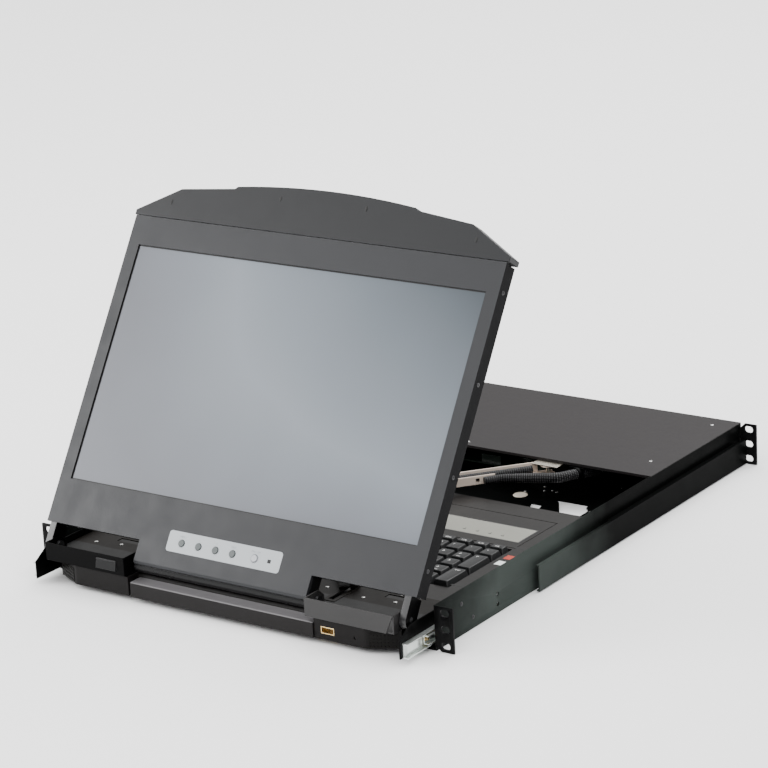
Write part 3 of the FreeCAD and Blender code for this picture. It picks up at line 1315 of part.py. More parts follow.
def arm_link(label, low, high, turn, x, y, flanges):
    """Channel between two pivots, beside the line that joins them.

    flanges holds the level of each flange and how far along the link it reaches.
    """
    body = new_body(label)
    long, eye, thick = LINK_LONG, D.link_eye, D.link_sheet
    near = D.link_side
    far = near + D.link_wide
    tabs = [rectangle(-eye, eye, -far, 0), rectangle(long - eye, long + eye, -far, 0)]
    for level in (low, high - thick):
        if level in flanges:
            pad(body, "XY", level, level + thick, [rectangle(0, flanges[level], -far, -near)])
        pad(body, "XY", level, level + thick, tabs)
        pad(body, "XY", level, level + thick, circles=[(0, 0, eye), (long, 0, eye)])
    pad(body, "XY", low, high, [rectangle(eye, long - eye, -far, -far + thick)])
    half, edge = D.link_slot / 2, D.link_slot_edge
    holes = [rectangle(long * share - half, long * share + half, low + edge, high - edge)
             for share in (0.25, 0.5, 0.75)]
    pocket(body, "XZ", -far - D.past, -far + thick + D.past, holes)
    pocket(body, "XY", low - D.past, high + D.past, circles=[(0, 0, D.link_pin + D.pin_clear)])
    place(body, x, y, 0)
    body.Placement.Rotation = FreeCAD.Rotation(FreeCAD.Vector(0, 0, 1), 10)
    bind(body, "Placement.Rotation.Angle", turn)
    return body


def near_web(body, low, high):
    """Second web of the rear link, open next to the pivot and clear of the elbow."""
    near, thick, edge = D.link_side, D.link_sheet, D.link_slot_edge
    start, end, top = D.link_open, LINK_LONG - 3 * D.link_eye, high - D.link_dip
    web = [(start + edge, low), (end, low), (end, top), (start, top), (start, low + edge)]
    pad(body, "XZ", -near - thick, -near, [web])
    middle, half = (low + top) / 2, D.link_hole / 2
    centres = [D.link_hole_first + k * D.link_hole_pitch for k in range(3)]
    holes = [rectangle(x - half, x + half, middle - half, middle + half) for x in centres]
    pocket(body, "XZ", -near - thick - D.past, -near + D.past, holes)


def arm_cable(label, under, turn, x, y):
    """Straight run of the cable along a link, just below the given level."""
    body = new_body(label)
    centre = -(D.link_side + D.link_wide / 2)
    middle = under - D.slide_gap / 2 - D.cord_radius
    pad(body, "YZ", 2 * D.link_eye, LINK_LONG - 2 * D.link_eye,
        circles=[(centre, middle, D.cord_radius)])
    place(body, x, y, 0)
    body.Placement.Rotation = FreeCAD.Rotation(FreeCAD.Vector(0, 0, 1), 10)
    bind(body, "Placement.Rotation.Angle", turn)


def cable_arm():
    """Two links of one length, so the front pin stays straight ahead of the rear pivot."""
    low, high = up(D.link_low_up), up(D.link_high_up)
    thick = D.link_sheet
    inner_low, inner_high = low + D.link_nest, high - D.link_nest
    rear = (-(90 + D.link_angle), D.link_x, LINK_REAR)
    front = (D.link_angle - 90, D.link_x - LINK_LONG * sine(D.link_angle),
             LINK_REAR - LINK_LONG * cosine(D.link_angle))
    body = arm_link("cable_arm_rear", low, high, *rear,
                    {low: LINK_LONG, high - thick: D.link_open - D.link_slot_edge})
    near_web(body, low, high)
    pad(body, "XY", low, high, circles=[(LINK_LONG, 0, D.link_pin)])
    upper = inner_high - thick
    body = arm_link("cable_arm_front", inner_low, inner_high, *front, {upper: LINK_LONG})
    pad(body, "XY", BAR_LOW - D.slide_gap, inner_high, circles=[(LINK_LONG, 0, D.link_pin)])
    arm_cable("display_cable_rear", high - thick, *rear)
    arm_cable("display_cable_front", upper, *front)


def cable_arm_mount():
    """Post behind the carriage with one arm over the rear link and one for the cable."""
    body = new_body("cable_arm_mount")
    x, y, half = D.link_x, LINK_REAR, D.mount_half
    shelf = up(D.link_high_up) + D.slide_gap
    top = shelf + D.cover_sheet
    back, thick = y + D.mount_long, D.link_sheet
    left, right = x - half, D.clamp_right
    pad(body, "XY", FLOOR, top, [rectangle(left, right, back - thick, back)])
    pad(body, "XY", FLOOR, FLOOR + thick, [rectangle(left, right, back - thick, back + half)])
    front = y + D.clamp_behind
    pad(body, "XY", shelf, top, [rectangle(left, x + half, y - D.link_eye, back),
                                 rectangle(D.clamp_left, right, front, back)])
    clamp = rectangle(D.clamp_left, right, front, front + thick)
    pad(body, "XY", up(D.link_low_up), top, [clamp])
    pad(body, "XY", up(D.link_low_up), top, circles=[(x, y, D.link_pin)])


def chassis_screws():
    """Cover and wall screws, and the small screws in the pan floor."""
    heads = []
    proud = D.screw_proud
    side, first = INSIDE - D.screw_in, COVER_FRONT + D.screw_edge
    places = [(Size(0), first)] + [(x, first + step) for x in (-side, side)
                                   for step in (D.screw_step, D.screw_rear)]
    for k, (x, y) in enumerate(places):
        heads.append(rod(f"cover_screw_{k}", "z", x, y, TOP, D.screw_head, proud / 2))
    wall_places = [(D.wall_screw_y, D.wall_screw_high_up),
                   (D.wall_screw_y + D.wall_screw_step, D.wall_screw_low_up)]
    for k, (y, height) in enumerate(wall_places):
        heads.append(rod(f"wall_screw_right_{k}", "x", WALL, y, up(height), D.screw_head, proud))
        heads.append(rod(f"wall_screw_left_{k}", "x", -WALL - proud, y, up(height),
                         D.screw_head, proud))
    beside, step = D.window_right + 2 * D.window_bevel, D.window_bevel
    behind = LINK_REAR + D.window_behind
    floor_places = [(beside, behind + 2 * step), (beside, behind), (beside + step, behind + step),
                    (D.vent_left - D.window_slant, behind + step)]
    for k, (x, y) in enumerate(floor_places):
        for name, turn in (("right", 1), ("left", -1)):
            heads.append(rod(f"floor_screw_{name}_{k}", "z", turn * x, y, FLOOR,
                             D.screw_head, proud))
    node(grouped("chassis_screw_group", heads), "chassis_screws")


carriage_plates()
carriage_crossbar()
hinge_box("hinge_box_left", -1, True)
hinge_box("hinge_box_right", 1, False)
release_tab()
cable_arm_guide()
lcd_bezel()
lcd_back_cover()
lcd_screen()
upper_handle()
control_plate()
for count, x in enumerate(button_places()):
    display_button("display_power_button" if count == 4 else f"menu_button_{count + 1}", x)
hinge_arms()
hinge_pins()
lcd_screws()
drawer_tray()
keyboard_deck()
key_mat()
port_strip()
touchpad()
touchpad_button("touchpad_button_left", -1)
touchpad_button("touchpad_button_right", 1)
drawer_front()
lower_handle()
usb_socket()
reset_button()
keyboard_keys()
cable_arm()
cable_arm_mount()
chassis_screws()

# ---------------------------------------------------------------- checks and files


def write_parts():
    doc.recompute()
    for thing in doc.Objects:
        if {"Invalid", "Error"} & set(thing.State):
            raise ValueError(f"{thing.Label} failed: {thing.State}")
    for thing in NODES:
        shape = thing.Shape
        if shape.isNull() or not shape.isValid() or not shape.Solids:
            raise ValueError(f"{thing.Label} has no good solid")
    os.makedirs("parts", exist_ok=True)
    for thing in NODES:
        thing.Shape.exportStep(f"parts/{thing.Label}.step")
        print(thing.Label, len(thing.Shape.Solids), round(thing.Shape.Volume, 1))


write_parts()
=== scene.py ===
import json
import math

import bmesh
import bpy
from mathutils import Matrix, Vector


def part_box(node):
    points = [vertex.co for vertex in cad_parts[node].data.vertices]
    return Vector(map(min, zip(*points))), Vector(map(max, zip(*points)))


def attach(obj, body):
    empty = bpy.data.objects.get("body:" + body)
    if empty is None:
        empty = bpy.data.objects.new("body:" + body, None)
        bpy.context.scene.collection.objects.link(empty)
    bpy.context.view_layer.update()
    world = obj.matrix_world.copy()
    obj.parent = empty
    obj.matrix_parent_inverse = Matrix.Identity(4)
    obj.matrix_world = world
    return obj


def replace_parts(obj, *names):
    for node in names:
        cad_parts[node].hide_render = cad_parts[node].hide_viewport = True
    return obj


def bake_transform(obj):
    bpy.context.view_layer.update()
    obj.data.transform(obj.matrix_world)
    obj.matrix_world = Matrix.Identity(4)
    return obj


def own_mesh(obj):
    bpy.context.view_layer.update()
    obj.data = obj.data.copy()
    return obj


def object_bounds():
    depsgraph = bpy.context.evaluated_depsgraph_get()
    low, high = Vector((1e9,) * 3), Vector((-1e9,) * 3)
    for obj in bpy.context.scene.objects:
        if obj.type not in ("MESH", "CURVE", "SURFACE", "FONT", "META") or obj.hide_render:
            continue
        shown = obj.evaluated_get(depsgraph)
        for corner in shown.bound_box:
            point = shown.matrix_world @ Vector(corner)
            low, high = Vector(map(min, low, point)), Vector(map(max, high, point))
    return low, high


# Rack console drawer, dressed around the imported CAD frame.  Metres, +Y to the rear.

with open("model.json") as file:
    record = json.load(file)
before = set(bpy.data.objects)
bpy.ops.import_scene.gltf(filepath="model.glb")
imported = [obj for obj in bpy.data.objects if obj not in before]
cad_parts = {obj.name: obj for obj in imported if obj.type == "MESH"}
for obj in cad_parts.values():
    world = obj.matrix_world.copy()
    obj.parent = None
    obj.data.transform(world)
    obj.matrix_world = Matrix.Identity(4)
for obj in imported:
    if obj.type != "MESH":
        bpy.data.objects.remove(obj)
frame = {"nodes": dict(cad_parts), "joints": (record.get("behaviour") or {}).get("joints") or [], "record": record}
NODES = frame["nodes"]
RECORD = frame["record"]
JOINTS = {joint["name"]: joint for joint in frame["joints"]}
BODIES = {node: body for body, nodes in RECORD["behaviour"]["bodies"].items() for node in nodes}
cad_low, cad_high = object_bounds()
MM = 0.001
SCENE = bpy.context.scene
FLOOR_Z = cad_low.z
rad = math.radians


def at(x, y, high):
    """A place in millimetres; the height is above the underside of the pan."""
    return Vector((x * MM, y * MM, FLOOR_Z + high * MM))


# ---------------------------------------------------------------- camera

TURN, TILT, ROLL = rad(35.77), rad(17.46), rad(-3.07)
TARGET = Vector((0.08289, 0.13484, 0.17064))
DISTANCE = 2.73123
LENS = 136.57


def aim_camera():
    """Looks at the target from the right and above, with a slight roll."""
    back = Vector((math.sin(TURN) * math.cos(TILT), -math.cos(TURN) * math.cos(TILT),
                   math.sin(TILT)))
    side = (-back).cross(Vector((0, 0, 1))).normalized()
    top = side.cross(-back)
    right = math.cos(ROLL) * side + math.sin(ROLL) * top
    high = math.cos(ROLL) * top - math.sin(ROLL) * side
    data = bpy.data.cameras.new("camera")
    data.lens, data.sensor_width = LENS, 36
    data.clip_start, data.clip_end = 0.05, 60
    camera = bpy.data.objects.new("camera", data)
    SCENE.collection.objects.link(camera)
    turned = Matrix((right, high, back)).transposed().to_4x4()
    camera.matrix_world = Matrix.Translation(TARGET + back * DISTANCE) @ turned
    SCENE.camera = camera


aim_camera()

# ---------------------------------------------------------------- materials


class Paint:
    """A material with its node tree at hand."""

    def __init__(self, name, rough=0.5, metal=0.0, specular=0.5):
        self.material = bpy.data.materials.new(name)
        self.material.use_nodes = True
        self.tree = self.material.node_tree
        self.shader = self.tree.nodes["Principled BSDF"]
        self.shader.inputs["Roughness"].default_value = rough
        self.shader.inputs["Metallic"].default_value = metal
        self.shader.inputs["Specular IOR Level"].default_value = specular

    def node(self, kind, inputs=(), **settings):
        made = self.tree.nodes.new("ShaderNode" + kind)
        for key, value in settings.items():
            setattr(made, key, value)
        for key, value in dict(inputs).items():
            if isinstance(value, bpy.types.NodeSocket):
                self.tree.links.new(value, made.inputs[key])
            else:
                made.inputs[key].default_value = value
        return made

    def feed(self, socket, value):
        self.tree.links.new(value, self.shader.inputs[socket])

    def spots(self, stretch=(1, 1, 1)):
        """Coordinates on the object, in metres, stretched along an axis."""
        place = self.node("TexCoord").outputs["Object"]
        return self.node("Mapping", {"Vector": place, "Scale": stretch}).outputs["Vector"]

    def noise(self, scale, detail=3.0, stretch=(1, 1, 1)):
        fields = {"Vector": self.spots(stretch), "Scale": scale, "Detail": detail}
        return self.node("TexNoise", fields).outputs["Fac"]

    def ramp(self, value, *stops):
        made = self.node("ValToRGB", {"Fac": value})
        points = made.color_ramp.elements
        while len(points) < len(stops):
            points.new(0.5)
        for point, (where, colour) in zip(points, stops):
            point.position = where
            point.color = (*colour, 1)
        return made.outputs["Color"]

    def between(self, value, low, high, low_to, high_to):
        fields = {"Value": value, "From Min": low, "From Max": high,
                  "To Min": low_to, "To Max": high_to}
        return self.node("MapRange", fields).outputs["Result"]

    def mixed(self, share, first, second):
        made = self.node("Mix", data_type="RGBA")
        for socket, value in ((made.inputs[0], share), (made.inputs[6], first),
                              (made.inputs[7], second)):
            if isinstance(value, bpy.types.NodeSocket):
                self.tree.links.new(value, socket)
            elif isinstance(value, tuple):
                socket.default_value = (*value, 1)
            else:
                socket.default_value = value
        return made.outputs[2]

    def maths(self, operation, first, second=0.5):
        fields = {0: first, 1: second}
        return self.node("Math", fields, operation=operation).outputs["Value"]

    def edges(self, radius, low, high):
        """1 along sharp edges and 0 on the flats."""
        bent = self.node("Bevel", {"Radius": radius}, samples=4).outputs["Normal"]
        flat = self.node("NewGeometry").outputs["Normal"]
        dot = self.node("VectorMath", {0: bent, 1: flat}, operation="DOT_PRODUCT")
        return self.between(dot.outputs["Value"], high, low, 0.0, 1.0)

    def bump(self, height, distance):
        fields = {"Height": height, "Distance": distance, "Strength": 1.0}
        self.feed("Normal", self.node("Bump", fields).outputs["Normal"])


def tinted(colour, share):
    return tuple(min(1.0, part * share) for part in colour)


def moulded(name, colour, rough, grain, depth, mottle=0.05, wear=0.0, specular=0.5,
            painted_sheen=None):
    """Plastic or paint: fine grain, faint clouding, uneven gloss and lighter worn edges.

    A painted sheen is a painted reflection: a lighter colour laid in a band along the depth, strongest about 0.1
    to 0.2 m to the rear and back to the own colour at the front edge and by 0.3 m."""
    paint = Paint(name, rough, 0.0, specular)
    cloud = paint.noise(22, 5)
    tone = paint.ramp(cloud, (0.3, tinted(colour, 1 - mottle)), (0.7, tinted(colour, 1 + mottle)))
    # Painted reflection: mixes the lighter sheen colour into a band along Y, with a little cloud drift at its
    # edges.
    if painted_sheen:
        depthwise = paint.node("SeparateXYZ", {"Vector": paint.spots()}).outputs["Y"]
        drift = paint.between(cloud, 0.3, 0.7, -0.02, 0.02)
        place = paint.maths("ADD", depthwise, drift)
        share = paint.ramp(paint.between(place, 0.0, 0.4, 0.0, 1.0), (0.03, (0.15,) * 3),
                           (0.24, (1,) * 3), (0.48, (0.9,) * 3), (0.74, (0,) * 3))
        tone = paint.mixed(share, tone, painted_sheen)
    if wear:
        broken = paint.noise(260, 5)
        mask = paint.maths("MULTIPLY", paint.edges(0.0007, 0.86, 0.97), broken)
        share = paint.between(mask, 0.25, 0.6, 0.0, wear)
        tone = paint.mixed(share, tone, tinted(colour, 3.2))
    paint.feed("Base Color", tone)
    fine = paint.noise(grain, 2)
    gloss = paint.noise(45, 4)
    paint.feed("Roughness", paint.between(gloss, 0.3, 0.7, rough - 0.05, rough + 0.06))
    paint.bump(fine, depth)
    return paint.material


def brushed(name, colour, rough, along=(1, 1, 1)):
    """Metal with drawn lines along one axis and faint stains."""
    paint = Paint(name, rough, 1.0)
    lines = paint.noise(1600, 2, along)
    stain = paint.noise(35, 4)
    tone = paint.ramp(stain, (0.35, tinted(colour, 0.8)), (0.65, tinted(colour, 1.08)))
    paint.feed("Base Color", tone)
    paint.feed("Roughness", paint.between(lines, 0.3, 0.7, rough - 0.08, rough + 0.1))
    paint.bump(lines, 0.00001)
    return paint.material


def screen_glass_painted_reflection(name):
    """Matte display glass with a painted reflection: brightest left of the middle and dark in its upper right
    corner.
    """
    paint = Paint(name, 0.34, 0.0, 0.4)
    parts = paint.node("SeparateXYZ", {"Vector": paint.spots()})
    across = paint.between(parts.outputs["X"], -0.21, 0.21, 0.0, 1.0)
    upward = paint.between(parts.outputs["Z"], 0.05, 0.28, 0.0, 1.0)
    corner = paint.maths("MULTIPLY", across, upward)
    drift = paint.between(paint.noise(5, 2), 0.3, 0.7, -0.04, 0.04)
    total = paint.maths("ADD", corner, drift)
    # Painted reflection: the light band left of the middle and the dark upper right corner stand in for what the
    # glass reflects.
    tone = paint.ramp(total, (0.0, (0.072, 0.078, 0.094)), (0.26, (0.140, 0.160, 0.184)),
                      (0.55, (0.092, 0.110, 0.130)), (0.95, (0.029, 0.039, 0.049)))
    paint.feed("Base Color", tone)
    paint.bump(paint.noise(2600, 1), 0.000006)
    return paint.material


def braid(name):
    """Woven sleeve: two crossing spirals, read from the tube's own coordinates, with painted highlights on the
    crests of the weave.
    """
    paint = Paint(name, 0.5, 0.0, 0.12)
    parts = paint.node("SeparateXYZ", {"Vector": paint.node("TexCoord").outputs["UV"]})
    waves = []
    for turn in (1, -1):
        slope = paint.maths("MULTIPLY", parts.outputs["Y"], float(turn))
        total = paint.maths("ADD", parts.outputs["X"], slope)
        phase = paint.maths("MULTIPLY", total, 2 * math.pi)
        waves.append(paint.maths("SINE", phase))
    height = paint.between(paint.maths("MULTIPLY", *waves), -1.0, 1.0, 0.0, 1.0)
    # Painted highlights: the brightest colour sits only on the crests of the weave, as glints.
    tone = paint.ramp(height, (0.5, (0.002, 0.002, 0.002)), (0.84, (0.010, 0.010, 0.011)),
                      (0.98, (0.30, 0.30, 0.31)))
    paint.feed("Base Color", tone)
    paint.feed("Roughness", paint.between(paint.noise(300, 3), 0.3, 0.7, 0.4, 0.6))
    paint.bump(height, 0.0001)
    return paint.material


def circuit(name):
    """Board lacquer with faint tracks."""
    paint = Paint(name, 0.35, 0.0, 0.5)
    fields = {"Vector": paint.spots(), "Scale": 260.0}
    cells = paint.node("TexVoronoi", fields, distance="MANHATTAN").outputs["Distance"]
    tone = paint.ramp(cells, (0.1, (0.004, 0.018, 0.008)), (0.22, (0.001, 0.007, 0.003)))
    paint.feed("Base Color", tone)
    paint.bump(cells, 0.00005)
    return paint.material


FINISH = {
    # The wall paint carries a painted reflection of the floor along the front part of the walls and brackets.
    "wall": moulded("wall_paint", (0.002, 0.0022, 0.0021), 0.34, 700, 0.00002, 0.06, 0.35,
                    specular=0.012, painted_sheen=(0.040, 0.048, 0.044)),
    "ear": moulded("ear_paint", (0.004, 0.004, 0.0042), 0.36, 700, 0.00002, 0.06, 0.5,
                   specular=0.06),
    "side": moulded("panel_side_paint", (0.007, 0.007, 0.0075), 0.42, 900, 0.00002, 0.05, 0.5,
                    specular=0.02),
    "cover": moulded("cover_paint", (0.0112, 0.0094, 0.0097), 0.5, 900,
                     0.00003, 0.03, 0.3, specular=0.22),
    # Painted light: a lighter copy of the hinge box paint, used only on the right box.
    "box": moulded("hinge_box_right_painted_light", (0.0205, 0.0198, 0.0198), 0.34, 900, 0.00002, 0.06, 0.9,
                   specular=0.3),
    "tab": moulded("release_tab_plastic", (0.006, 0.006, 0.0063), 0.36, 900, 0.00002, 0.05, 0.9,
                   specular=0.2),
    "hinge": moulded("hinge_paint", (0.0010, 0.0010, 0.0011), 0.32, 900, 0.00002, 0.06, 0.9,
                     specular=0.04),
    "bar": moulded("crossbar_paint", (0.0075, 0.0060, 0.0048), 0.45, 900, 0.00003,
                   0.05, 0.3, specular=0.12),
    # Painted shade: a darker copy of the crossbar paint for the shade in the hinge trough.
    "trough": moulded("crossbar_painted_shade", (0.005, 0.005, 0.005), 0.5, 900, 0.00003, 0.06, 0.2,
                      specular=0.25),
    "bezel": moulded("bezel_plastic", (0.0178, 0.0184, 0.0204), 0.42, 1500,
                     0.00003, 0.03, 0.5, specular=0.25),
    "handle": moulded("handle_plastic", (0.0085, 0.0089, 0.0100), 0.42, 1500,
                      0.00004, 0.03, 0.6, specular=0.25),
    "shell": moulded("shell_paint", (0.003, 0.003, 0.0033), 0.3, 1200, 0.00002, 0.05, 0.5,
                     specular=0.2),
    "front": moulded("front_plastic", (0.0045, 0.0038, 0.0037), 0.45, 1500, 0.00003, 0.05, 0.6,
                     specular=0.12),
    # Painted light: a much lighter copy of the grip plastic for the handle's up-facing faces.
    "grip_lit_top": moulded("grip_plastic_painted_lit_top", (0.098, 0.094, 0.098), 0.42, 1500, 0.00003, 0.04, 0.3),
    "grip": moulded("grip_plastic", (0.007, 0.006, 0.006), 0.42, 1500, 0.00003, 0.04, 0.6,
                    specular=0.15),
    "grille": moulded("grille_plastic", (0.003, 0.0025, 0.002), 0.5, 1500, 0.00003, 0.05, 0.2,
                      specular=0.12),
    "deck": moulded("deck_plastic", (0.0125, 0.0115, 0.0108), 0.4, 1500,
                    0.00003, 0.04, 0.4, specular=0.2),
    "key": moulded("key_plastic", (0.0128, 0.0133, 0.0138), 0.42, 1800, 0.00003, 0.05, 0.3,
                   specular=0.3),
    "black": moulded("black_plastic", (0.006, 0.006, 0.006), 0.5, 1200, 0.00003, 0.08,
                     specular=0.3),
    "tray": moulded("tray_paint", (0.010, 0.010, 0.010), 0.45, 900, 0.00003, 0.08, specular=0.3),
    "label": moulded("label_plastic", (0.31, 0.33, 0.345), 0.35, 2000, 0.00001, 0.02),
    "button": moulded("button_rubber", (0.06, 0.07, 0.07), 0.5, 2000, 0.00002, 0.04),
    "button_white": moulded("button_clear", (0.34, 0.35, 0.37), 0.3, 2000, 0.00001, 0.02),
    "strip": moulded("strip_plastic", (0.22, 0.22, 0.19), 0.42, 1600, 0.00002, 0.03),
    "cream": moulded("arm_paint", (0.80, 0.68, 0.58), 0.34, 700, 0.00003, 0.04, 0.1),
    "nickel": brushed("nickel_plate", (0.62, 0.58, 0.50), 0.3),
    # pale is a painted reflection on the fronts of the hinge arms, and the real colour of the port strip rim.
    "pale": moulded("arm_front_sheen_and_strip_rim", (0.013, 0.013, 0.0138), 0.3, 900, 0.00002, 0.05, 0.3),
    "ink": moulded("legend_ink", (0.80, 0.80, 0.78), 0.5, 2500, 0.00001, 0.03),
    "grey_ink": moulded("panel_ink", (0.20, 0.21, 0.23), 0.5, 2500, 0.00001, 0.04),
    "paper": moulded("label_paper", (0.86, 0.91, 0.88), 0.55, 1200, 0.00002, 0.04),
    "orange": moulded("label_orange", (0.42, 0.022, 0.003), 0.45, 1200, 0.00002, 0.06),
    "nylon": moulded("nylon", (0.66, 0.60, 0.50), 0.4, 1500, 0.00002, 0.04),
    "gold": brushed("gold_plate", (0.74, 0.56, 0.28), 0.28),
    "zinc": brushed("zinc_plate", (0.84, 0.88, 0.85), 0.36, (1, 0.03, 1)),
    "steel": brushed("screw_steel", (0.55, 0.55, 0.54), 0.32),
    "dark_steel": brushed("blackened_steel", (0.06, 0.06, 0.062), 0.4),
    "screen": screen_glass_painted_reflection("screen_glass_painted_reflection"),
    "braid": braid("braided_sleeve_painted_glints"),
    "board": circuit("board_lacquer"),
}

# ---------------------------------------------------------------- mesh helpers


def piece(name, bm, body, finish, bevel=0.0, segments=2, angle=30, even=True):
    """A mesh object that rides on a body, with its edges rounded by bevel millimetres."""
    mesh = bpy.data.meshes.new(name)
    bmesh.ops.recalc_face_normals(bm, faces=bm.faces)
    bm.to_mesh(mesh)
    bm.free()
    obj = bpy.data.objects.new(name, mesh)
    SCENE.collection.objects.link(obj)
    finishes = [finish] if isinstance(finish, str) else finish
    for key in finishes:
        mesh.materials.append(FINISH[key])
    mesh.polygons.foreach_set("use_smooth", [True] * len(mesh.polygons))
    if bevel:
        rounding = obj.modifiers.new("rounding", "BEVEL")
        rounding.width = bevel * MM
        rounding.segments = segments
        rounding.limit_method = "ANGLE"
        rounding.angle_limit = rad(angle)
        if even:
            evened = obj.modifiers.new("evened", "WEIGHTED_NORMAL")
            evened.keep_sharp = True
        else:
            rounding.harden_normals = True
    else:
        mesh.set_sharp_from_angle(angle=rad(angle))
    if body:
        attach(obj, body)
    return obj


def node_mesh(node):
    """The node's mesh with its split corners welded and flat faces made whole."""
    bm = bmesh.new()
    bm.from_mesh(NODES[node].data)
    bmesh.ops.remove_doubles(bm, verts=bm.verts, dist=3e-6)
    bmesh.ops.dissolve_limit(bm, angle_limit=rad(0.5), verts=bm.verts, edges=bm.edges)
    return bm


def refined(node, finish, bevel, segments):
    """Stands for a CAD node: the same shape with rounded edges."""
    obj = piece(node + "_piece", node_mesh(node), BODIES[node], finish,
                bevel, segments)
    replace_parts(obj, node)


def painted(node, finishes, choose, bevel, cuts=()):
    """Stands for a CAD node whose faces, cut along planes, take their finish from choose."""
    bm = node_mesh(node)
    for place, normal in cuts:
        bmesh.ops.bisect_plane(bm, geom=bm.verts[:] + bm.edges[:] + bm.faces[:], plane_co=place,
                               plane_no=normal)
    bmesh.ops.recalc_face_normals(bm, faces=bm.faces)
    for face in bm.faces:
        face.material_index = choose(face.calc_center_median(), face.normal)
    obj = piece(node + "_piece", bm, BODIES[node], finishes, bevel,
                even=node != "chassis_pan")
    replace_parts(obj, node)


def islands(node):
    """Box of every separate solid of a node, as (low, high) in metres."""
    bm = node_mesh(node)
    left = set(bm.verts)
    found = []
    while left:
        stack = [left.pop()]
        group = list(stack)
        while stack:
            for edge in stack.pop().link_edges:
                for vert in edge.verts:
                    if vert in left:
                        left.remove(vert)
                        stack.append(vert)
                        group.append(vert)
        low = Vector(min(v.co[k] for v in group) for k in range(3))
        high = Vector(max(v.co[k] for v in group) for k in range(3))
        found.append((low, high))
    bm.free()
    return sorted(found, key=lambda pair: (round(pair[0].x, 5), pair[0].y, pair[0].z))


def add_box(bm, low, high, turn=None):
    """A box between two corners, optionally moved by a matrix."""
    centre, size = (low + high) / 2, high - low
    for vert in bmesh.ops.create_cube(bm, size=1)["verts"]:
        vert.co = Vector(centre[k] + vert.co[k] * size[k] for k in range(3))
        if turn:
            vert.co = turn @ vert.co


def lathe(bm, profile, turn, steps=24):
    """Turns (radius, height) pairs about the Z axis of a matrix, closed at both ends."""
    rings = []
    for radius, height in profile:
        if radius < 1e-9:
            rings.append([bm.verts.new(turn @ Vector((0, 0, height)))])
        else:
            angles = [2 * math.pi * k / steps for k in range(steps)]
            rings.append([bm.verts.new(turn @ Vector((radius * math.cos(a), radius * math.sin(a),
                                                      height))) for a in angles])
    for first, second in zip(rings, rings[1:]):
        for k in range(steps):
            n = (k + 1) % steps
            corners = [first[k % len(first)], first[n % len(first)],
                       second[n % len(second)], second[k % len(second)]]
            unique = list(dict.fromkeys(corners))
            if len(unique) > 2:
                bm.faces.new(unique)


def facing(place, axis, size=1.0):
    """Matrix with its origin at a place and its Z along an axis."""
    turn = Vector(axis).to_track_quat("Z", "Y").to_matrix().to_4x4()
    return Matrix.Translation(place) @ turn @ Matrix.Scale(size, 4)


def screw_template():
    """Domed head with a cross recess, one unit in radius."""
    bm = bmesh.new()
    lathe(bm, [(0, -0.1), (1, -0.1), (1, 0.12), (0.86, 0.3), (0.5, 0.42), (0, 0.46)],
          Matrix.Identity(4), 20)
    mesh = bpy.data.meshes.new("screw_head")
    bm.to_mesh(mesh)
    bm.free()
    head = bpy.data.objects.new("screw_head", mesh)
    bm = bmesh.new()
    for size in ((0.62, 0.13), (0.13, 0.62)):
        add_box(bm, Vector((-size[0], -size[1], 0.14)), Vector((size[0], size[1], 1)))
    bmesh.ops.recalc_face_normals(bm, faces=bm.faces)
    cutter_mesh = bpy.data.meshes.new("screw_cross")
    bm.to_mesh(cutter_mesh)
    bm.free()
    cutter = bpy.data.objects.new("screw_cross", cutter_mesh)
    for obj in (head, cutter):
        SCENE.collection.objects.link(obj)
    cut = head.modifiers.new("cross", "BOOLEAN")
    cut.operation, cut.object, cut.solver = "DIFFERENCE", cutter, "EXACT"
    cut.use_self = True
    graph = bpy.context.evaluated_depsgraph_get()
    result = bpy.data.meshes.new_from_object(head.evaluated_get(graph))
    for obj in (head, cutter):
        bpy.data.objects.remove(obj)
    return result


SCREW = screw_template()


def add_screw(bm, place, axis, radius):
    copy = SCREW.copy()
    copy.transform(facing(place, axis, radius))
    bm.from_mesh(copy)
    bpy.data.meshes.remove(copy)


def screws(name, body, places, finish="steel"):
    """Screw heads at (place, axis, radius in metres)."""
    bm = bmesh.new()
    for place, axis, radius in places:
        add_screw(bm, place, axis, radius)
    return piece(name, bm, body, finish)


def text_shape(words, size):
    """Letters as a closed mesh, centred, lying in the XY plane."""
    curve = bpy.data.curves.new("letters", "FONT")
    curve.body = words
    curve.size = size
    curve.align_x, curve.align_y = "CENTER", "CENTER"
    curve.extrude = 0.04 * MM
    curve.resolution_u = 2
    obj = bpy.data.objects.new("letters", curve)
    SCENE.collection.objects.link(obj)
    graph = bpy.context.evaluated_depsgraph_get()
    mesh = bpy.data.meshes.new_from_object(obj.evaluated_get(graph))
    bpy.data.objects.remove(obj)
    return mesh


def add_text(bm, words, size, turn):
    mesh = text_shape(words, size)
    mesh.transform(turn)
    bm.from_mesh(mesh)
    bpy.data.meshes.remove(mesh)


def smooth_path(points, steps=10):
    """Catmull-Rom curve through the points."""
    ends = [points[0] * 2 - points[1]] + points + [points[-1] * 2 - points[-2]]
    path = []
    for a, b, c, d in zip(ends, ends[1:], ends[2:], ends[3:]):
        for k in range(steps):
            t = k / steps
            path.append(0.5 * (2 * b + (c - a) * t + (2 * a - 5 * b + 4 * c - d) * t * t
                               + (3 * b - a - 3 * c + d) * t ** 3))
    return path + [points[-1]]


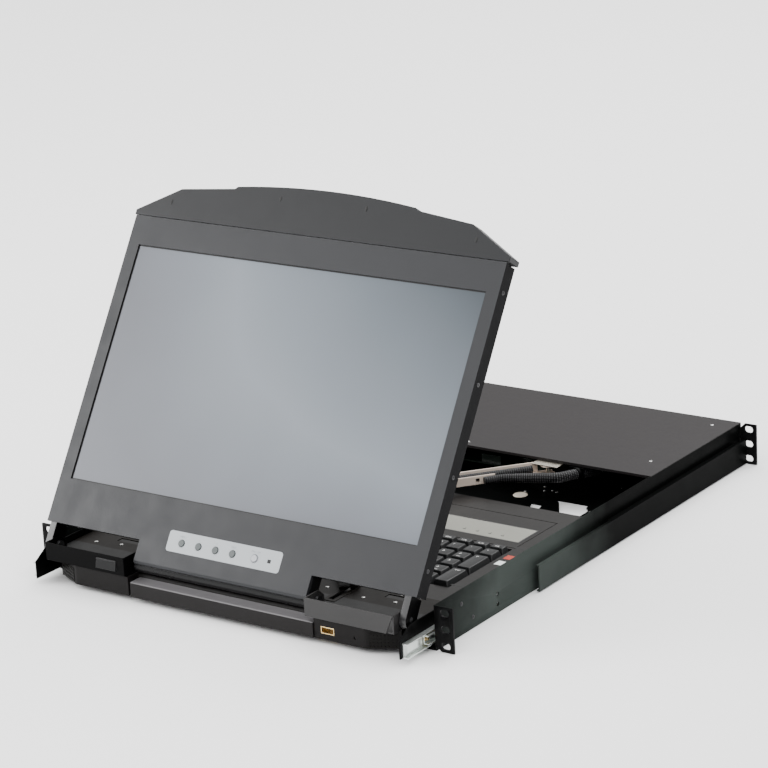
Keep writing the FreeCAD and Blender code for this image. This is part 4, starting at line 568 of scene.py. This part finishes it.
def add_tube(bm, path, radius, end_radius=None, sides=24, strands=10, pitch=0.0046):
    """Tube along a path, with coordinates that count strands round and pitches along."""
    end_radius = end_radius or radius
    layer = bm.loops.layers.uv.verify()
    rings = []
    along = 0.0
    normal = None
    for k, place in enumerate(path):
        heading = (path[min(k + 1, len(path) - 1)] - path[max(k - 1, 0)]).normalized()
        if normal is None:
            normal = heading.orthogonal().normalized()
        normal = (normal - heading * normal.dot(heading)).normalized()
        side = heading.cross(normal)
        if k:
            along += (place - path[k - 1]).length
        angles = [2 * math.pi * n / sides for n in range(sides)]
        wide = radius + (end_radius - radius) * min(1.0, 2 * k / len(path))
        ring = [bm.verts.new(place + wide * (math.cos(a) * normal + math.sin(a) * side))
                for a in angles]
        rings.append((ring, along / pitch))
    for (first, low), (second, high) in zip(rings, rings[1:]):
        for n in range(sides):
            m = (n + 1) % sides
            face = bm.faces.new((first[n], first[m], second[m], second[n]))
            spots = ((n, low), (n + 1, low), (n + 1, high), (n, high))
            for loop, (turn, rise) in zip(face.loops, spots):
                loop[layer].uv = (turn * strands / sides, rise)
    bm.faces.new(list(reversed(rings[0][0])))
    bm.faces.new(rings[-1][0])


# ---------------------------------------------------------------- CAD pieces with soft edges

# Rebuilt with rounded edges: finish and bevel in millimetres.
REFINED = {
    "rear_cover": ("cover", 0.3), "rear_panel": ("wall", 0.2),
    "rear_connectors": ("black", 0.25), "power_switch": ("black", 0.4),
    "carriage_plates": ("hinge", 0.3),
    # The hinge boxes share one paint: the left takes the near-black hinge paint as painted shade, the right a
    # lighter copy as painted light.
    "hinge_box_left": ("hinge", 0.45), "hinge_box_right": ("box", 0.45),
    "release_tab": ("tab", 0.3),
    "upper_handle": ("handle", 0.7), "control_plate": ("label", 0.12),
    "menu_button_1": ("button", 0.15), "menu_button_2": ("button", 0.15),
    "menu_button_3": ("button", 0.15), "menu_button_4": ("button", 0.15),
    "display_power_button": ("button_white", 0.15),
    "drawer_front": ("front", 0.5),
    "keyboard_deck": ("deck", 0.35), "port_strip": ("strip", 0.15), "touchpad": ("black", 0.2),
    "touchpad_button_left": ("key", 0.35), "touchpad_button_right": ("key", 0.35),
    "cable_arm_rear": ("cream", 0.25), "cable_arm_guide": ("bar", 0.15),
    "power_supply": ("zinc", 0.5), "main_board": ("board", 0.2),
}
# Left as the CAD made them, with a finish.
KEPT = {
    "lcd_fixed_rails": "zinc", "lcd_middle_rails": "zinc", "lcd_carriage_rails": "zinc",
    "lcd_ball_cages": "gold", "keyboard_fixed_rails": "zinc", "keyboard_middle_rails": "zinc",
    "keyboard_drawer_rails": "zinc", "keyboard_rail_brackets": "zinc", "hinge_pins": "dark_steel",
    "lcd_screen": "screen", "drawer_tray": "tray", "key_mat": "black", "reset_button": "black",
}
for name, (look, width) in REFINED.items():
    refined(name, look, width, 3 if width > 0.4 else 2)
for name, look in KEPT.items():
    NODES[name].data.materials.clear()
    NODES[name].data.materials.append(FINISH[look])


def two_tone_parts():
    """Parts whose faces have more than one finish."""
    ear_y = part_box("chassis_pan")[0].y + 3 * MM
    painted("chassis_pan", ["wall", "ear"],
            lambda spot, normal: 1 if spot.y < ear_y else 0, 0.25)
    for side in ("left", "right"):
        low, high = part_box("rear_bracket_" + side)
        painted("rear_bracket_" + side, ["wall", "ear"],
                lambda spot, normal, rear=high.y - 4 * MM: 1 if spot.y > rear else 0, 0.25)
    # Painted shade: the crossbar in front of trough_y, and every face of it that does not face up, takes the
    # darker paint.
    trough_y = 12.5 * MM
    painted("carriage_crossbar", ["bar", "trough"],
            lambda spot, normal: 1 if spot.y < trough_y or normal.z < 0.5 else 0, 0.25,
            [(Vector((0, trough_y, 0)), Vector((0, 1, 0)))])
    # Painted reflection: faces of the black hinge arms that face the front take the lighter pale paint.
    painted("hinge_arms", ["hinge", "pale"],
            lambda spot, normal: 1 if normal.y < -0.35 and abs(normal.x) < 0.5 else 0, 0.4)
    flank_x = 200 * MM
    for node, front in (("lcd_bezel", "bezel"), ("lcd_back_cover", "shell")):
        painted(node, [front, "side"],
                lambda spot, normal: 1 if abs(normal.x) > 0.7 and abs(spot.x) > flank_x else 0,
                0.5)
    # Painted light: faces of the lower handle that face up take the lighter copy of the grip plastic.
    painted("lower_handle", ["grip", "grip_lit_top"],
            lambda spot, normal: 1 if normal.z > 0.7 else 0, 0.4)
    clamp_x, post_y = 122.5 * MM, 417.5 * MM
    painted("cable_arm_mount", ["nickel", "hinge"],
            lambda spot, normal: 1 if spot.x > clamp_x or spot.y > post_y else 0, 0.2,
            [(Vector((0, post_y, 0)), Vector((0, 1, 0)))])
    tip_y = 75 * MM
    painted("cable_arm_front", ["cream", "bar"],
            lambda spot, normal: 1 if spot.y < tip_y else 0, 0.25,
            [(Vector((0, tip_y, 0)), Vector((0, 1, 0)))])
    shell = max(islands("usb_socket"), key=lambda pair: (pair[1] - pair[0]).length)
    middle, reach = (shell[0] + shell[1]) / 2, (shell[1] - shell[0]) / 2
    painted("usb_socket", ["gold", "ink"],
            lambda spot, normal: 1 if 0.3 * reach.z > spot.z - middle.z > 0.02 * reach.z
            and abs(spot.x - middle.x) < 0.5 * reach.x and abs(normal.z) < 0.9 else 0, 0.1)


two_tone_parts()

# ---------------------------------------------------------------- keys

LEGENDS = {
    "function_keys": ["Esc", "F1", "F2", "F3", "F4", "F5", "F6", "F7", "F8", "F9", "F10", "F11",
                      "F12", "Del", "Home", "PgUp", "PgDn", "End"],
    "number_keys": ["`", "1", "2", "3", "4", "5", "6", "7", "8", "9", "0", "-", "=", "Bksp",
                    "Num", "/", "*", "-"],
    "upper_letter_keys": ["Tab", "Q", "W", "E", "R", "T", "Y", "U", "I", "O", "P", "[", "]",
                          "7", "8", "9", "+"],
    "home_keys": ["Caps", "A", "S", "D", "F", "G", "H", "J", "K", "L", ";", "Enter", "4", "5", "6"],
    "lower_letter_keys": ["Shift", "Z", "X", "C", "V", "B", "N", "M", ",", ".", "/", "Shift",
                          "1", "2", "3", "Enter"],
    "bottom_keys": ["Ctrl", "Fn", "Alt", "Alt", "Ctrl", "<", "v", ">", "0", "."],
    "space_bar": [""],
}
SECOND_LINES = {"0": "Ins", "1": "End", "3": "PgDn", "7": "Home", "9": "PgUp", ".": "Del"}


def corner_loop(low, high, inset, radius, height, bm, steps=4):
    """Rounded rectangle of vertices at a height."""
    ring = []
    x0, y0, x1, y1 = low.x + inset, low.y + inset, high.x - inset, high.y - inset
    centres = ((x1 - radius, y1 - radius, 0), (x0 + radius, y1 - radius, 90),
               (x0 + radius, y0 + radius, 180), (x1 - radius, y0 + radius, 270))
    for x, y, start in centres:
        for k in range(steps + 1):
            angle = rad(start + 90 * k / steps)
            ring.append(bm.verts.new((x + radius * math.cos(angle), y + radius * math.sin(angle),
                                      height)))
    return ring


def add_key(bm, low, high, dish):
    """Tapered cap with rounded corners and a dished top."""
    taper = 2.1 * MM
    base, top = low.z, high.z
    rings = [(0.0, 1.0, base), (taper * 0.78, 1.5, base + (top - base) * 0.86),
             (taper * 0.95, 1.9, top - 0.25 * MM), (taper + 0.45 * MM, 2.0, top),
             (taper + 1.5 * MM, 1.8, top - dish * 0.6), (taper + 3.2 * MM, 1.0, top - dish)]
    loops = [corner_loop(low, high, inset, radius * MM, height, bm)
             for inset, radius, height in rings]
    count = len(loops[0])
    for first, second in zip(loops, loops[1:]):
        for k in range(count):
            n = (k + 1) % count
            bm.faces.new((first[k], first[n], second[n], second[k]))
    bm.faces.new(loops[-1])
    bm.faces.new(list(reversed(loops[0])))


for row, legends in LEGENDS.items():
    caps, ink = bmesh.new(), bmesh.new()
    dish = 0.0 if row == "space_bar" else 0.45 * MM
    for (low, high), words in zip(islands(row), legends):
        add_key(caps, low, high, dish)
        size = (7.6 if len(words) == 1 else 4.4) * MM
        second = SECOND_LINES.get(words) if low.x > 0.09 else None
        x = low.x + 5.4 * MM if len(words) < 3 else low.x + 6.6 * MM
        y = high.y - 5.6 * MM
        face = high.z - dish
        if words:
            add_text(ink, words, size, Matrix.Translation((x, y, face)))
        if second:
            add_text(ink, second, 3.6 * MM,
                     Matrix.Translation((low.x + 6.2 * MM, low.y + 5.0 * MM, face)))
    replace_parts(piece(row + "_caps", caps, row, "key", angle=50), row)
    if ink.verts:
        piece(row + "_legends", ink, row, "ink")
    else:
        ink.free()

# ---------------------------------------------------------------- display details

PIVOT = Vector(JOINTS["lcd_tilt"]["pos_m"])
OUTWARD = -Vector(JOINTS["menu_button_1_press"]["axis"]).normalized()
ACROSS = Vector((1, 0, 0))
PANEL = (Matrix.Translation(PIVOT)
         @ Matrix((ACROSS, OUTWARD.cross(ACROSS), OUTWARD)).transposed().to_4x4())
ON_PANEL = PANEL.inverted()


def panel_box(node):
    """A node's box in the display's own axes, in metres."""
    spots = [ON_PANEL @ vert.co for vert in NODES[node].data.vertices]
    low = Vector(min(s[k] for s in spots) for k in range(3))
    high = Vector(max(s[k] for s in spots) for k in range(3))
    return low, high


SCREEN_LOW, SCREEN_HIGH = panel_box("lcd_screen")
COVER_LOW, COVER_HIGH = panel_box("lcd_back_cover")


def add_frame(bm, outer_low, outer_high, wide, low, high, turn):
    """A flat rectangular frame, wide across and from low to high in Z."""
    rings = []
    for inset in (0, wide):
        for level in (low, high):
            corners = ((outer_low.x + inset, outer_low.y + inset),
                       (outer_high.x - inset, outer_low.y + inset),
                       (outer_high.x - inset, outer_high.y - inset),
                       (outer_low.x + inset, outer_high.y - inset))
            rings.append([bm.verts.new(turn @ Vector((x, y, level))) for x, y in corners])
    for first, second in ((0, 1), (1, 3), (3, 2), (2, 0)):
        for k in range(4):
            n = (k + 1) % 4
            bm.faces.new((rings[first][k], rings[first][n], rings[second][n], rings[second][k]))


def screen_border():
    """Black mask printed round the edge of the screen."""
    bm = bmesh.new()
    edge = 3 * MM
    low = Vector((SCREEN_LOW.x + edge, SCREEN_LOW.y + edge, 0))
    high = Vector((SCREEN_HIGH.x - edge, SCREEN_HIGH.y - edge, 0))
    add_frame(bm, low, high, 1.3 * MM, SCREEN_HIGH.z - 0.1 * MM, SCREEN_HIGH.z + 0.06 * MM, PANEL)
    piece("screen_border", bm, "lcd_panel", "black")


def control_prints():
    """Small generic marks over the buttons and a dark sensor window."""
    ink = bmesh.new()
    face = panel_box("control_plate")[1].z
    names = {"menu_button_1": "MENU", "menu_button_2": "-", "menu_button_3": "+",
             "menu_button_4": "EXIT", "display_power_button": "ON / OFF"}
    for node, words in names.items():
        low, high = panel_box(node)
        x, y = (low.x + high.x) / 2, high.y + 2.9 * MM
        add_text(ink, words, 2.6 * MM, PANEL @ Matrix.Translation((x, y, face)))
    piece("control_legends", ink, "lcd_panel", "grey_ink")
    dark = bmesh.new()
    low, high = panel_box("display_power_button")
    x, y = high.x + 13.6 * MM, (low.y + high.y) / 2
    add_box(dark, Vector((x - 1.9 * MM, y - 1.7 * MM, face - 0.1 * MM)),
            Vector((x + 1.9 * MM, y + 1.7 * MM, face + 0.12 * MM)), PANEL)
    piece("sensor_window", dark, "lcd_panel", "black", 0.1)
    ring = bmesh.new()
    centre = PANEL @ Vector(((low.x + high.x) / 2, y, face))
    radius = (high.x - low.x) / 2
    lathe(ring, [(radius + 0.3 * MM, -0.1 * MM), (radius + 1.0 * MM, -0.1 * MM),
                 (radius + 0.9 * MM, 0.16 * MM), (radius + 0.4 * MM, 0.16 * MM),
                 (radius + 0.3 * MM, -0.1 * MM)], facing(centre, OUTWARD), 32)
    bmesh.ops.remove_doubles(ring, verts=ring.verts, dist=1e-7)
    piece("power_button_ring", ring, "lcd_panel", "grey_ink")


def display_screws():
    """Small screws in the display's sides and across its back."""
    places = []
    for low, high in islands("lcd_screws"):
        centre = (low + high) / 2
        side = 1 if centre.x > 0 else -1
        root = Vector((low.x if side > 0 else high.x, centre.y, centre.z))
        places.append((root, (side, 0, 0), (high.y - low.y) / 2 * 0.8))
    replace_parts(screws("edge_screws", "lcd_panel", places, "dark_steel"), "lcd_screws")
    back = []
    for x in (-0.19, -0.063, 0.063, 0.19):
        for y in (COVER_LOW.y + 0.032, COVER_HIGH.y - 0.012):
            back.append((PANEL @ Vector((x, y, COVER_LOW.z)), -OUTWARD, 2.4 * MM))
    screws("back_cover_screws", "lcd_panel", back)


def handle_bumpers():
    """Small oval bumpers moulded into the face of the upper handle."""
    bm = bmesh.new()
    face = panel_box("upper_handle")[1].z
    for x, y in ((-178, 350.7), (-50, 367.2), (50, 367.2), (178, 350.7)):
        centre = PANEL @ Vector((x * MM, y * MM, face))
        oval = facing(centre, OUTWARD) @ Matrix.Diagonal((1, 2.0, 1, 1))
        lathe(bm, [(0, -0.3 * MM), (1.5 * MM, -0.3 * MM), (1.5 * MM, 0.1 * MM),
                   (1.1 * MM, 0.35 * MM), (0, 0.4 * MM)], oval, 16)
    piece("handle_bumpers", bm, "lcd_panel", "black")


screen_border()
control_prints()
display_screws()
handle_bumpers()

# ---------------------------------------------------------------- chassis details


def chassis_screw_heads():
    """Bright heads on the cover and blackened ones in the walls."""
    bright, dark = [], []
    for low, high in islands("chassis_screws"):
        centre, size = (low + high) / 2, high - low
        flat = min(range(3), key=lambda k: size[k])
        axis = [0, 0, 0]
        axis[flat] = -1 if flat == 0 and centre.x < 0 else 1
        root = centre.copy()
        root[flat] = low[flat] if axis[flat] > 0 else high[flat]
        reach = max(size) / 2
        if flat == 0:
            dark.append((root, axis, reach * 0.8))
        else:
            bright.append((root, axis, reach * 0.7))
    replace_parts(screws("chassis_screw_heads", "chassis", bright), "chassis_screws")
    screws("wall_screw_heads", "chassis", dark, "dark_steel")


def crossbar_screws():
    """Heads along the top of the crossbar, the same on both sides."""
    places = []
    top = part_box("carriage_crossbar")[1].z
    for x, y in ((189.5, 19.5), (162, 24.5), (129, 20.5), (84, 26.5), (40, 18)):
        for side in (-1, 1):
            places.append((Vector((side * x * MM, y * MM, top)), (0, 0, 1), 1.9 * MM))
    screws("crossbar_screws", "lcd_carriage", places)


def slide_mouths():
    """Stop plate with a blank label in each carriage rail, and the brass rollers behind it."""
    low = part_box("lcd_carriage_rails")[0]
    web, roller_x = 214.8 * MM, 216.6
    plates, labels, rollers = bmesh.new(), bmesh.new(), bmesh.new()
    for side in (-1, 1):
        add_box(plates, Vector((side * web, low.y + 0.4 * MM, FLOOR_Z + 8.0 * MM)),
                Vector((side * (web + 0.10 * MM), low.y + 27 * MM, FLOOR_Z + 16.8 * MM)))
        add_box(labels, Vector((side * (web + 0.05 * MM), low.y + 6 * MM, FLOOR_Z + 8.8 * MM)),
                Vector((side * (web + 0.16 * MM), low.y + 22 * MM, FLOOR_Z + 16.0 * MM)))
        for y, high_at in ((-8.5, 13.6), (-4.6, 12.6)):
            lathe(rollers, [(0, 0), (2.1 * MM, 0), (2.1 * MM, 0.3 * MM), (1.3 * MM, 0.5 * MM),
                            (0, 0.5 * MM)],
                  facing(at(side * roller_x, y, high_at), (side, 0, 0)), 20)
    piece("slide_stop_plates", plates, "lcd_carriage", "zinc", 0.05)
    piece("slide_labels", labels, "lcd_carriage", "paper", 0.02)
    piece("slide_rollers", rollers, BODIES["lcd_middle_rails"], "gold", 0.05)


def slide_balls():
    """Steel balls in the cages of the display's slides."""
    bm = bmesh.new()
    low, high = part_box("lcd_ball_cages")
    middle = (low.z + high.z) / 2
    race = (high.z - low.z) / 2
    x = high.x - 1.0 * MM
    for side in (-1, 1):
        for level in (-1, 1):
            for k in range(15):
                y = low.y + (3 + 9.4 * k) * MM
                centre = Vector((side * x, y, middle + level * (race - 0.2 * MM)))
                bmesh.ops.create_icosphere(bm, subdivisions=2, radius=0.7 * MM,
                                           matrix=Matrix.Translation(centre))
    piece("slide_balls", bm, "lcd_ball_cages", "steel")


def grille(name, side):
    """Perforated strip on a corner chamfer of the drawer front."""
    low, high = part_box("drawer_front")
    start, end = Vector((0.170, low.y, 0)), Vector((0.200, -0.021, 0))
    run = end - start
    out = Vector((run.y, -run.x, 0)).normalized()
    cell, rows, columns = 3.4 * MM, 4, 8
    middle = (start + end) / 2 + Vector((0, 0, (low.z + high.z) / 2 - 1 * MM))
    turn = Matrix((run.normalized(), Vector((0, 0, 1)), out)).transposed().to_4x4()
    spot = Matrix.Translation(middle) @ turn
    bm = bmesh.new()
    for column in range(columns):
        for level in range(rows):
            cx = (column - (columns - 1) / 2) * cell
            cy = (level - (rows - 1) / 2) * cell
            square = [(1, 0), (1, 1), (0, 1), (-1, 1), (-1, 0), (-1, -1), (0, -1), (1, -1)]
            outer = [bm.verts.new((cx + x * cell / 2, cy + y * cell / 2, 0)) for x, y in square]
            inner = [bm.verts.new((cx + 0.95 * MM * math.cos(rad(45 * k)),
                                   cy + 0.95 * MM * math.sin(rad(45 * k)), 0)) for k in range(8)]
            for k in range(8):
                n = (k + 1) % 8
                bm.faces.new((outer[k], outer[n], inner[n], inner[k]))
    bmesh.ops.remove_doubles(bm, verts=bm.verts, dist=1e-6)
    grown = bmesh.ops.extrude_face_region(bm, geom=bm.faces[:])
    for item in grown["geom"]:
        if isinstance(item, bmesh.types.BMVert):
            item.co.z += 0.5 * MM
    for vert in bm.verts:
        vert.co = spot @ vert.co
        vert.co.x *= side
    piece(name, bm, "keyboard_drawer", "grille", angle=20)


def floor_fittings():
    """Small fasteners and a nylon rest pad on the floor under the cable arm."""
    places = [(at(x, y, 1.2), (0, 0, 1), 1.7 * MM)
              for x, y in ((94.4, 405), (100.6, 403), (87.3, 401), (80.8, 412), (161.4, 368),
                           (153, 428), (153, 444), (-94.4, 405), (-153, 428), (-153, 444))]
    screws("floor_screws", "chassis", places)
    bm = bmesh.new()
    lathe(bm, [(0, 0), (7.6 * MM, 0), (7.6 * MM, 0.3 * MM), (6.8 * MM, 0.8 * MM), (0, 0.9 * MM)],
          facing(at(71.5, 379, 1.15), (0, 0, 1)), 32)
    piece("rest_pad", bm, "chassis", "nylon")


floor_fittings()
chassis_screw_heads()
crossbar_screws()
slide_mouths()
slide_balls()
grille("grille_right", 1)
grille("grille_left", -1)

# ---------------------------------------------------------------- deck details


def deck_details():
    """Status marks, groove line, strip rim, dark slots and blank stickers on the deck."""
    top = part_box("keyboard_deck")[1].z
    strip_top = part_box("port_strip")[1].z
    marks = bmesh.new()
    for x in (103, 118, 132.5, 147):
        spot = Vector((x * MM, 228 * MM, strip_top))
        add_box(marks, spot - Vector((1.6, 0.6, 0.1)) * MM, spot + Vector((1.6, 0.6, 0.05)) * MM)
        add_box(marks, spot + Vector((-0.5, 2.0, -0.1)) * MM, spot + Vector((0.5, 3.0, 0.05)) * MM)
    piece("status_marks", marks, "keyboard_drawer", "black")
    line = bmesh.new()
    add_frame(line, Vector((-0.1755, 0.206, 0)), Vector((0.1755, 0.2815, 0)), 1.0 * MM,
              top - 0.5 * MM, top - 0.04 * MM, Matrix.Identity(4))
    piece("deck_groove_line", line, "keyboard_drawer", "black")
    rim = bmesh.new()
    low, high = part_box("port_strip")
    edge = Vector((1.8 * MM, 1.8 * MM, 0))
    add_frame(rim, low - edge, high + edge, 1.8 * MM, top - 0.1 * MM, top + 0.1 * MM,
              Matrix.Identity(4))
    piece("port_strip_rim", rim, "keyboard_drawer", "pale")
    slots = bmesh.new()
    for x, y in ((183, 207), (181, 99), (-183, 207), (-181, 99)):
        spot = Vector((x * MM, y * MM, top))
        add_box(slots, spot - Vector((8, 1.6, 0.3)) * MM, spot + Vector((8, 1.6, 0.06)) * MM)
    piece("deck_slots", slots, "keyboard_drawer", "black", 0.05)
    for name, look, y in (("sticker_orange", "orange", 182), ("sticker_pale", "paper", 166)):
        bm = bmesh.new()
        spot = Vector((188 * MM, y * MM, top))
        add_box(bm, spot - Vector((8, 5, 0.1)) * MM, spot + Vector((8, 5, 0.08)) * MM)
        piece(name, bm, "keyboard_drawer", look, 0.03)


deck_details()

# ---------------------------------------------------------------- display cable


def cable_line(node, near, far):
    """The two ends of a straight cable node that runs alongside two points."""
    heading = (far - near).normalized()
    spots = [vert.co for vert in NODES[node].data.vertices]
    centre = sum(spots, Vector()) / len(spots)
    reach = [(s - centre).dot(heading) for s in spots]
    return centre + heading * min(reach), centre + heading * max(reach), heading


ARM_END = Vector(JOINTS["cable_arm_rear_pivot"]["pos_m"])
ELBOW = Vector(JOINTS["cable_arm_elbow"]["pos_m"])
ARM_TIP = Vector((ARM_END.x, 2 * ELBOW.y - ARM_END.y, ELBOW.z))
CABLE_RADIUS = 4.0 * MM


def arm_cables():
    """Braided display cable: along both links, round the elbow and to a grommet in its clamp."""
    rear_near, rear_far, rear_way = cable_line("display_cable_rear", ARM_END, ELBOW)
    front_near, front_far, front_way = cable_line("display_cable_front", ELBOW, ARM_TIP)
    for node, start, end in (("display_cable_rear", rear_near, rear_far),
                             ("display_cable_front", front_near, front_far)):
        bm = bmesh.new()
        add_tube(bm, [start.lerp(end, k / 40) for k in range(41)], CABLE_RADIUS)
        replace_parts(piece(node + "_braid", bm, BODIES[node], "braid", angle=60),
                    node)
    bm = bmesh.new()
    middle = (rear_far + front_near) / 2
    route = smooth_path([rear_far - rear_way * 8 * MM, rear_far + rear_way * 4 * MM,
                         middle, front_near - front_way * 4 * MM, front_near + front_way * 8 * MM])
    add_tube(bm, route, CABLE_RADIUS * 0.98)
    loop = piece("elbow_cable", bm, None, "braid", angle=60)
    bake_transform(loop)
    bm = bmesh.new()
    grommet = at(138.5, 381, 34)
    beside = Vector((-rear_way.y, rear_way.x, 0)) * 7 * MM
    spot = ARM_END + beside
    level = Vector((0, 0, rear_near.z - spot.z))
    route = smooth_path([spot + rear_way * 70 * MM + level, spot + rear_way * 57 * MM + level,
                         at(80.5, 337.2, 34), at(89, 342, 34), at(101, 348.6, 34),
                         at(114, 355, 34), at(128, 364, 34), grommet, at(144, 402, 31),
                         at(141, 430, 24), at(122, 444, 20)])
    add_tube(bm, route, CABLE_RADIUS * 0.98, 5.3 * MM)
    tail = piece("chassis_cable", bm, "chassis", "braid", angle=60)
    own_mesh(tail)
    ring = bmesh.new()
    lathe(ring, [(5.0 * MM, -1.2 * MM), (6.4 * MM, -1.2 * MM), (6.8 * MM, 0), (6.4 * MM, 2.6 * MM),
                 (5.0 * MM, 2.6 * MM), (5.0 * MM, -1.2 * MM)],
          facing(grommet, (0.28, 0.96, 0)), 28)
    bmesh.ops.remove_doubles(ring, verts=ring.verts, dist=1e-7)
    piece("clamp_grommet", ring, "chassis", "hinge")


arm_cables()

# ---------------------------------------------------------------- stage


def stage():
    """Pale floor, a sky that is darker low down, and three soft lamps."""
    bpy.ops.mesh.primitive_plane_add(size=40, location=(0, 0, FLOOR_Z - 0.4 * MM))
    floor = bpy.context.object
    floor.name = "studio_floor"
    paint = Paint("studio_floor", 0.9)
    tone = paint.ramp(paint.noise(0.8, 2), (0.3, (0.86, 0.86, 0.86)), (0.7, (0.89, 0.89, 0.89)))
    paint.feed("Base Color", tone)
    floor.data.materials.append(paint.material)
    world = bpy.data.worlds.new("studio")
    world.use_nodes = True
    tree = world.node_tree
    place = tree.nodes.new("ShaderNodeTexCoord")
    parts = tree.nodes.new("ShaderNodeSeparateXYZ")
    ramp = tree.nodes.new("ShaderNodeValToRGB")
    points = ramp.color_ramp.elements
    points[0].position, points[0].color = 0.3, (0.05, 0.05, 0.05, 1)
    points[1].position, points[1].color = 0.8, (1, 1, 1, 1)
    tree.links.new(place.outputs["Generated"], parts.inputs["Vector"])
    tree.links.new(parts.outputs["Z"], ramp.inputs["Fac"])
    tree.links.new(ramp.outputs["Color"], tree.nodes["Background"].inputs["Color"])
    tree.nodes["Background"].inputs["Strength"].default_value = 3.6
    SCENE.world = world
    lights = (("key_light", (-2.0, -1.3, 1.0), 1.2, 55), ("fill_light", (1.6, -2.4, 1.2), 1.2, 8),
              ("back_light", (0.2, 2.4, 2.6), 2.0, 60))
    middle = Vector((0.05, 0.15, 0.1))
    for name, place, size, power in lights:
        data = bpy.data.lights.new(name, "AREA")
        data.size, data.energy = size, power
        lamp = bpy.data.objects.new(name, data)
        lamp.location = place
        lamp.rotation_mode = "QUATERNION"
        lamp.rotation_quaternion = (middle - lamp.location).to_track_quat("-Z", "Y")
        SCENE.collection.objects.link(lamp)


stage()
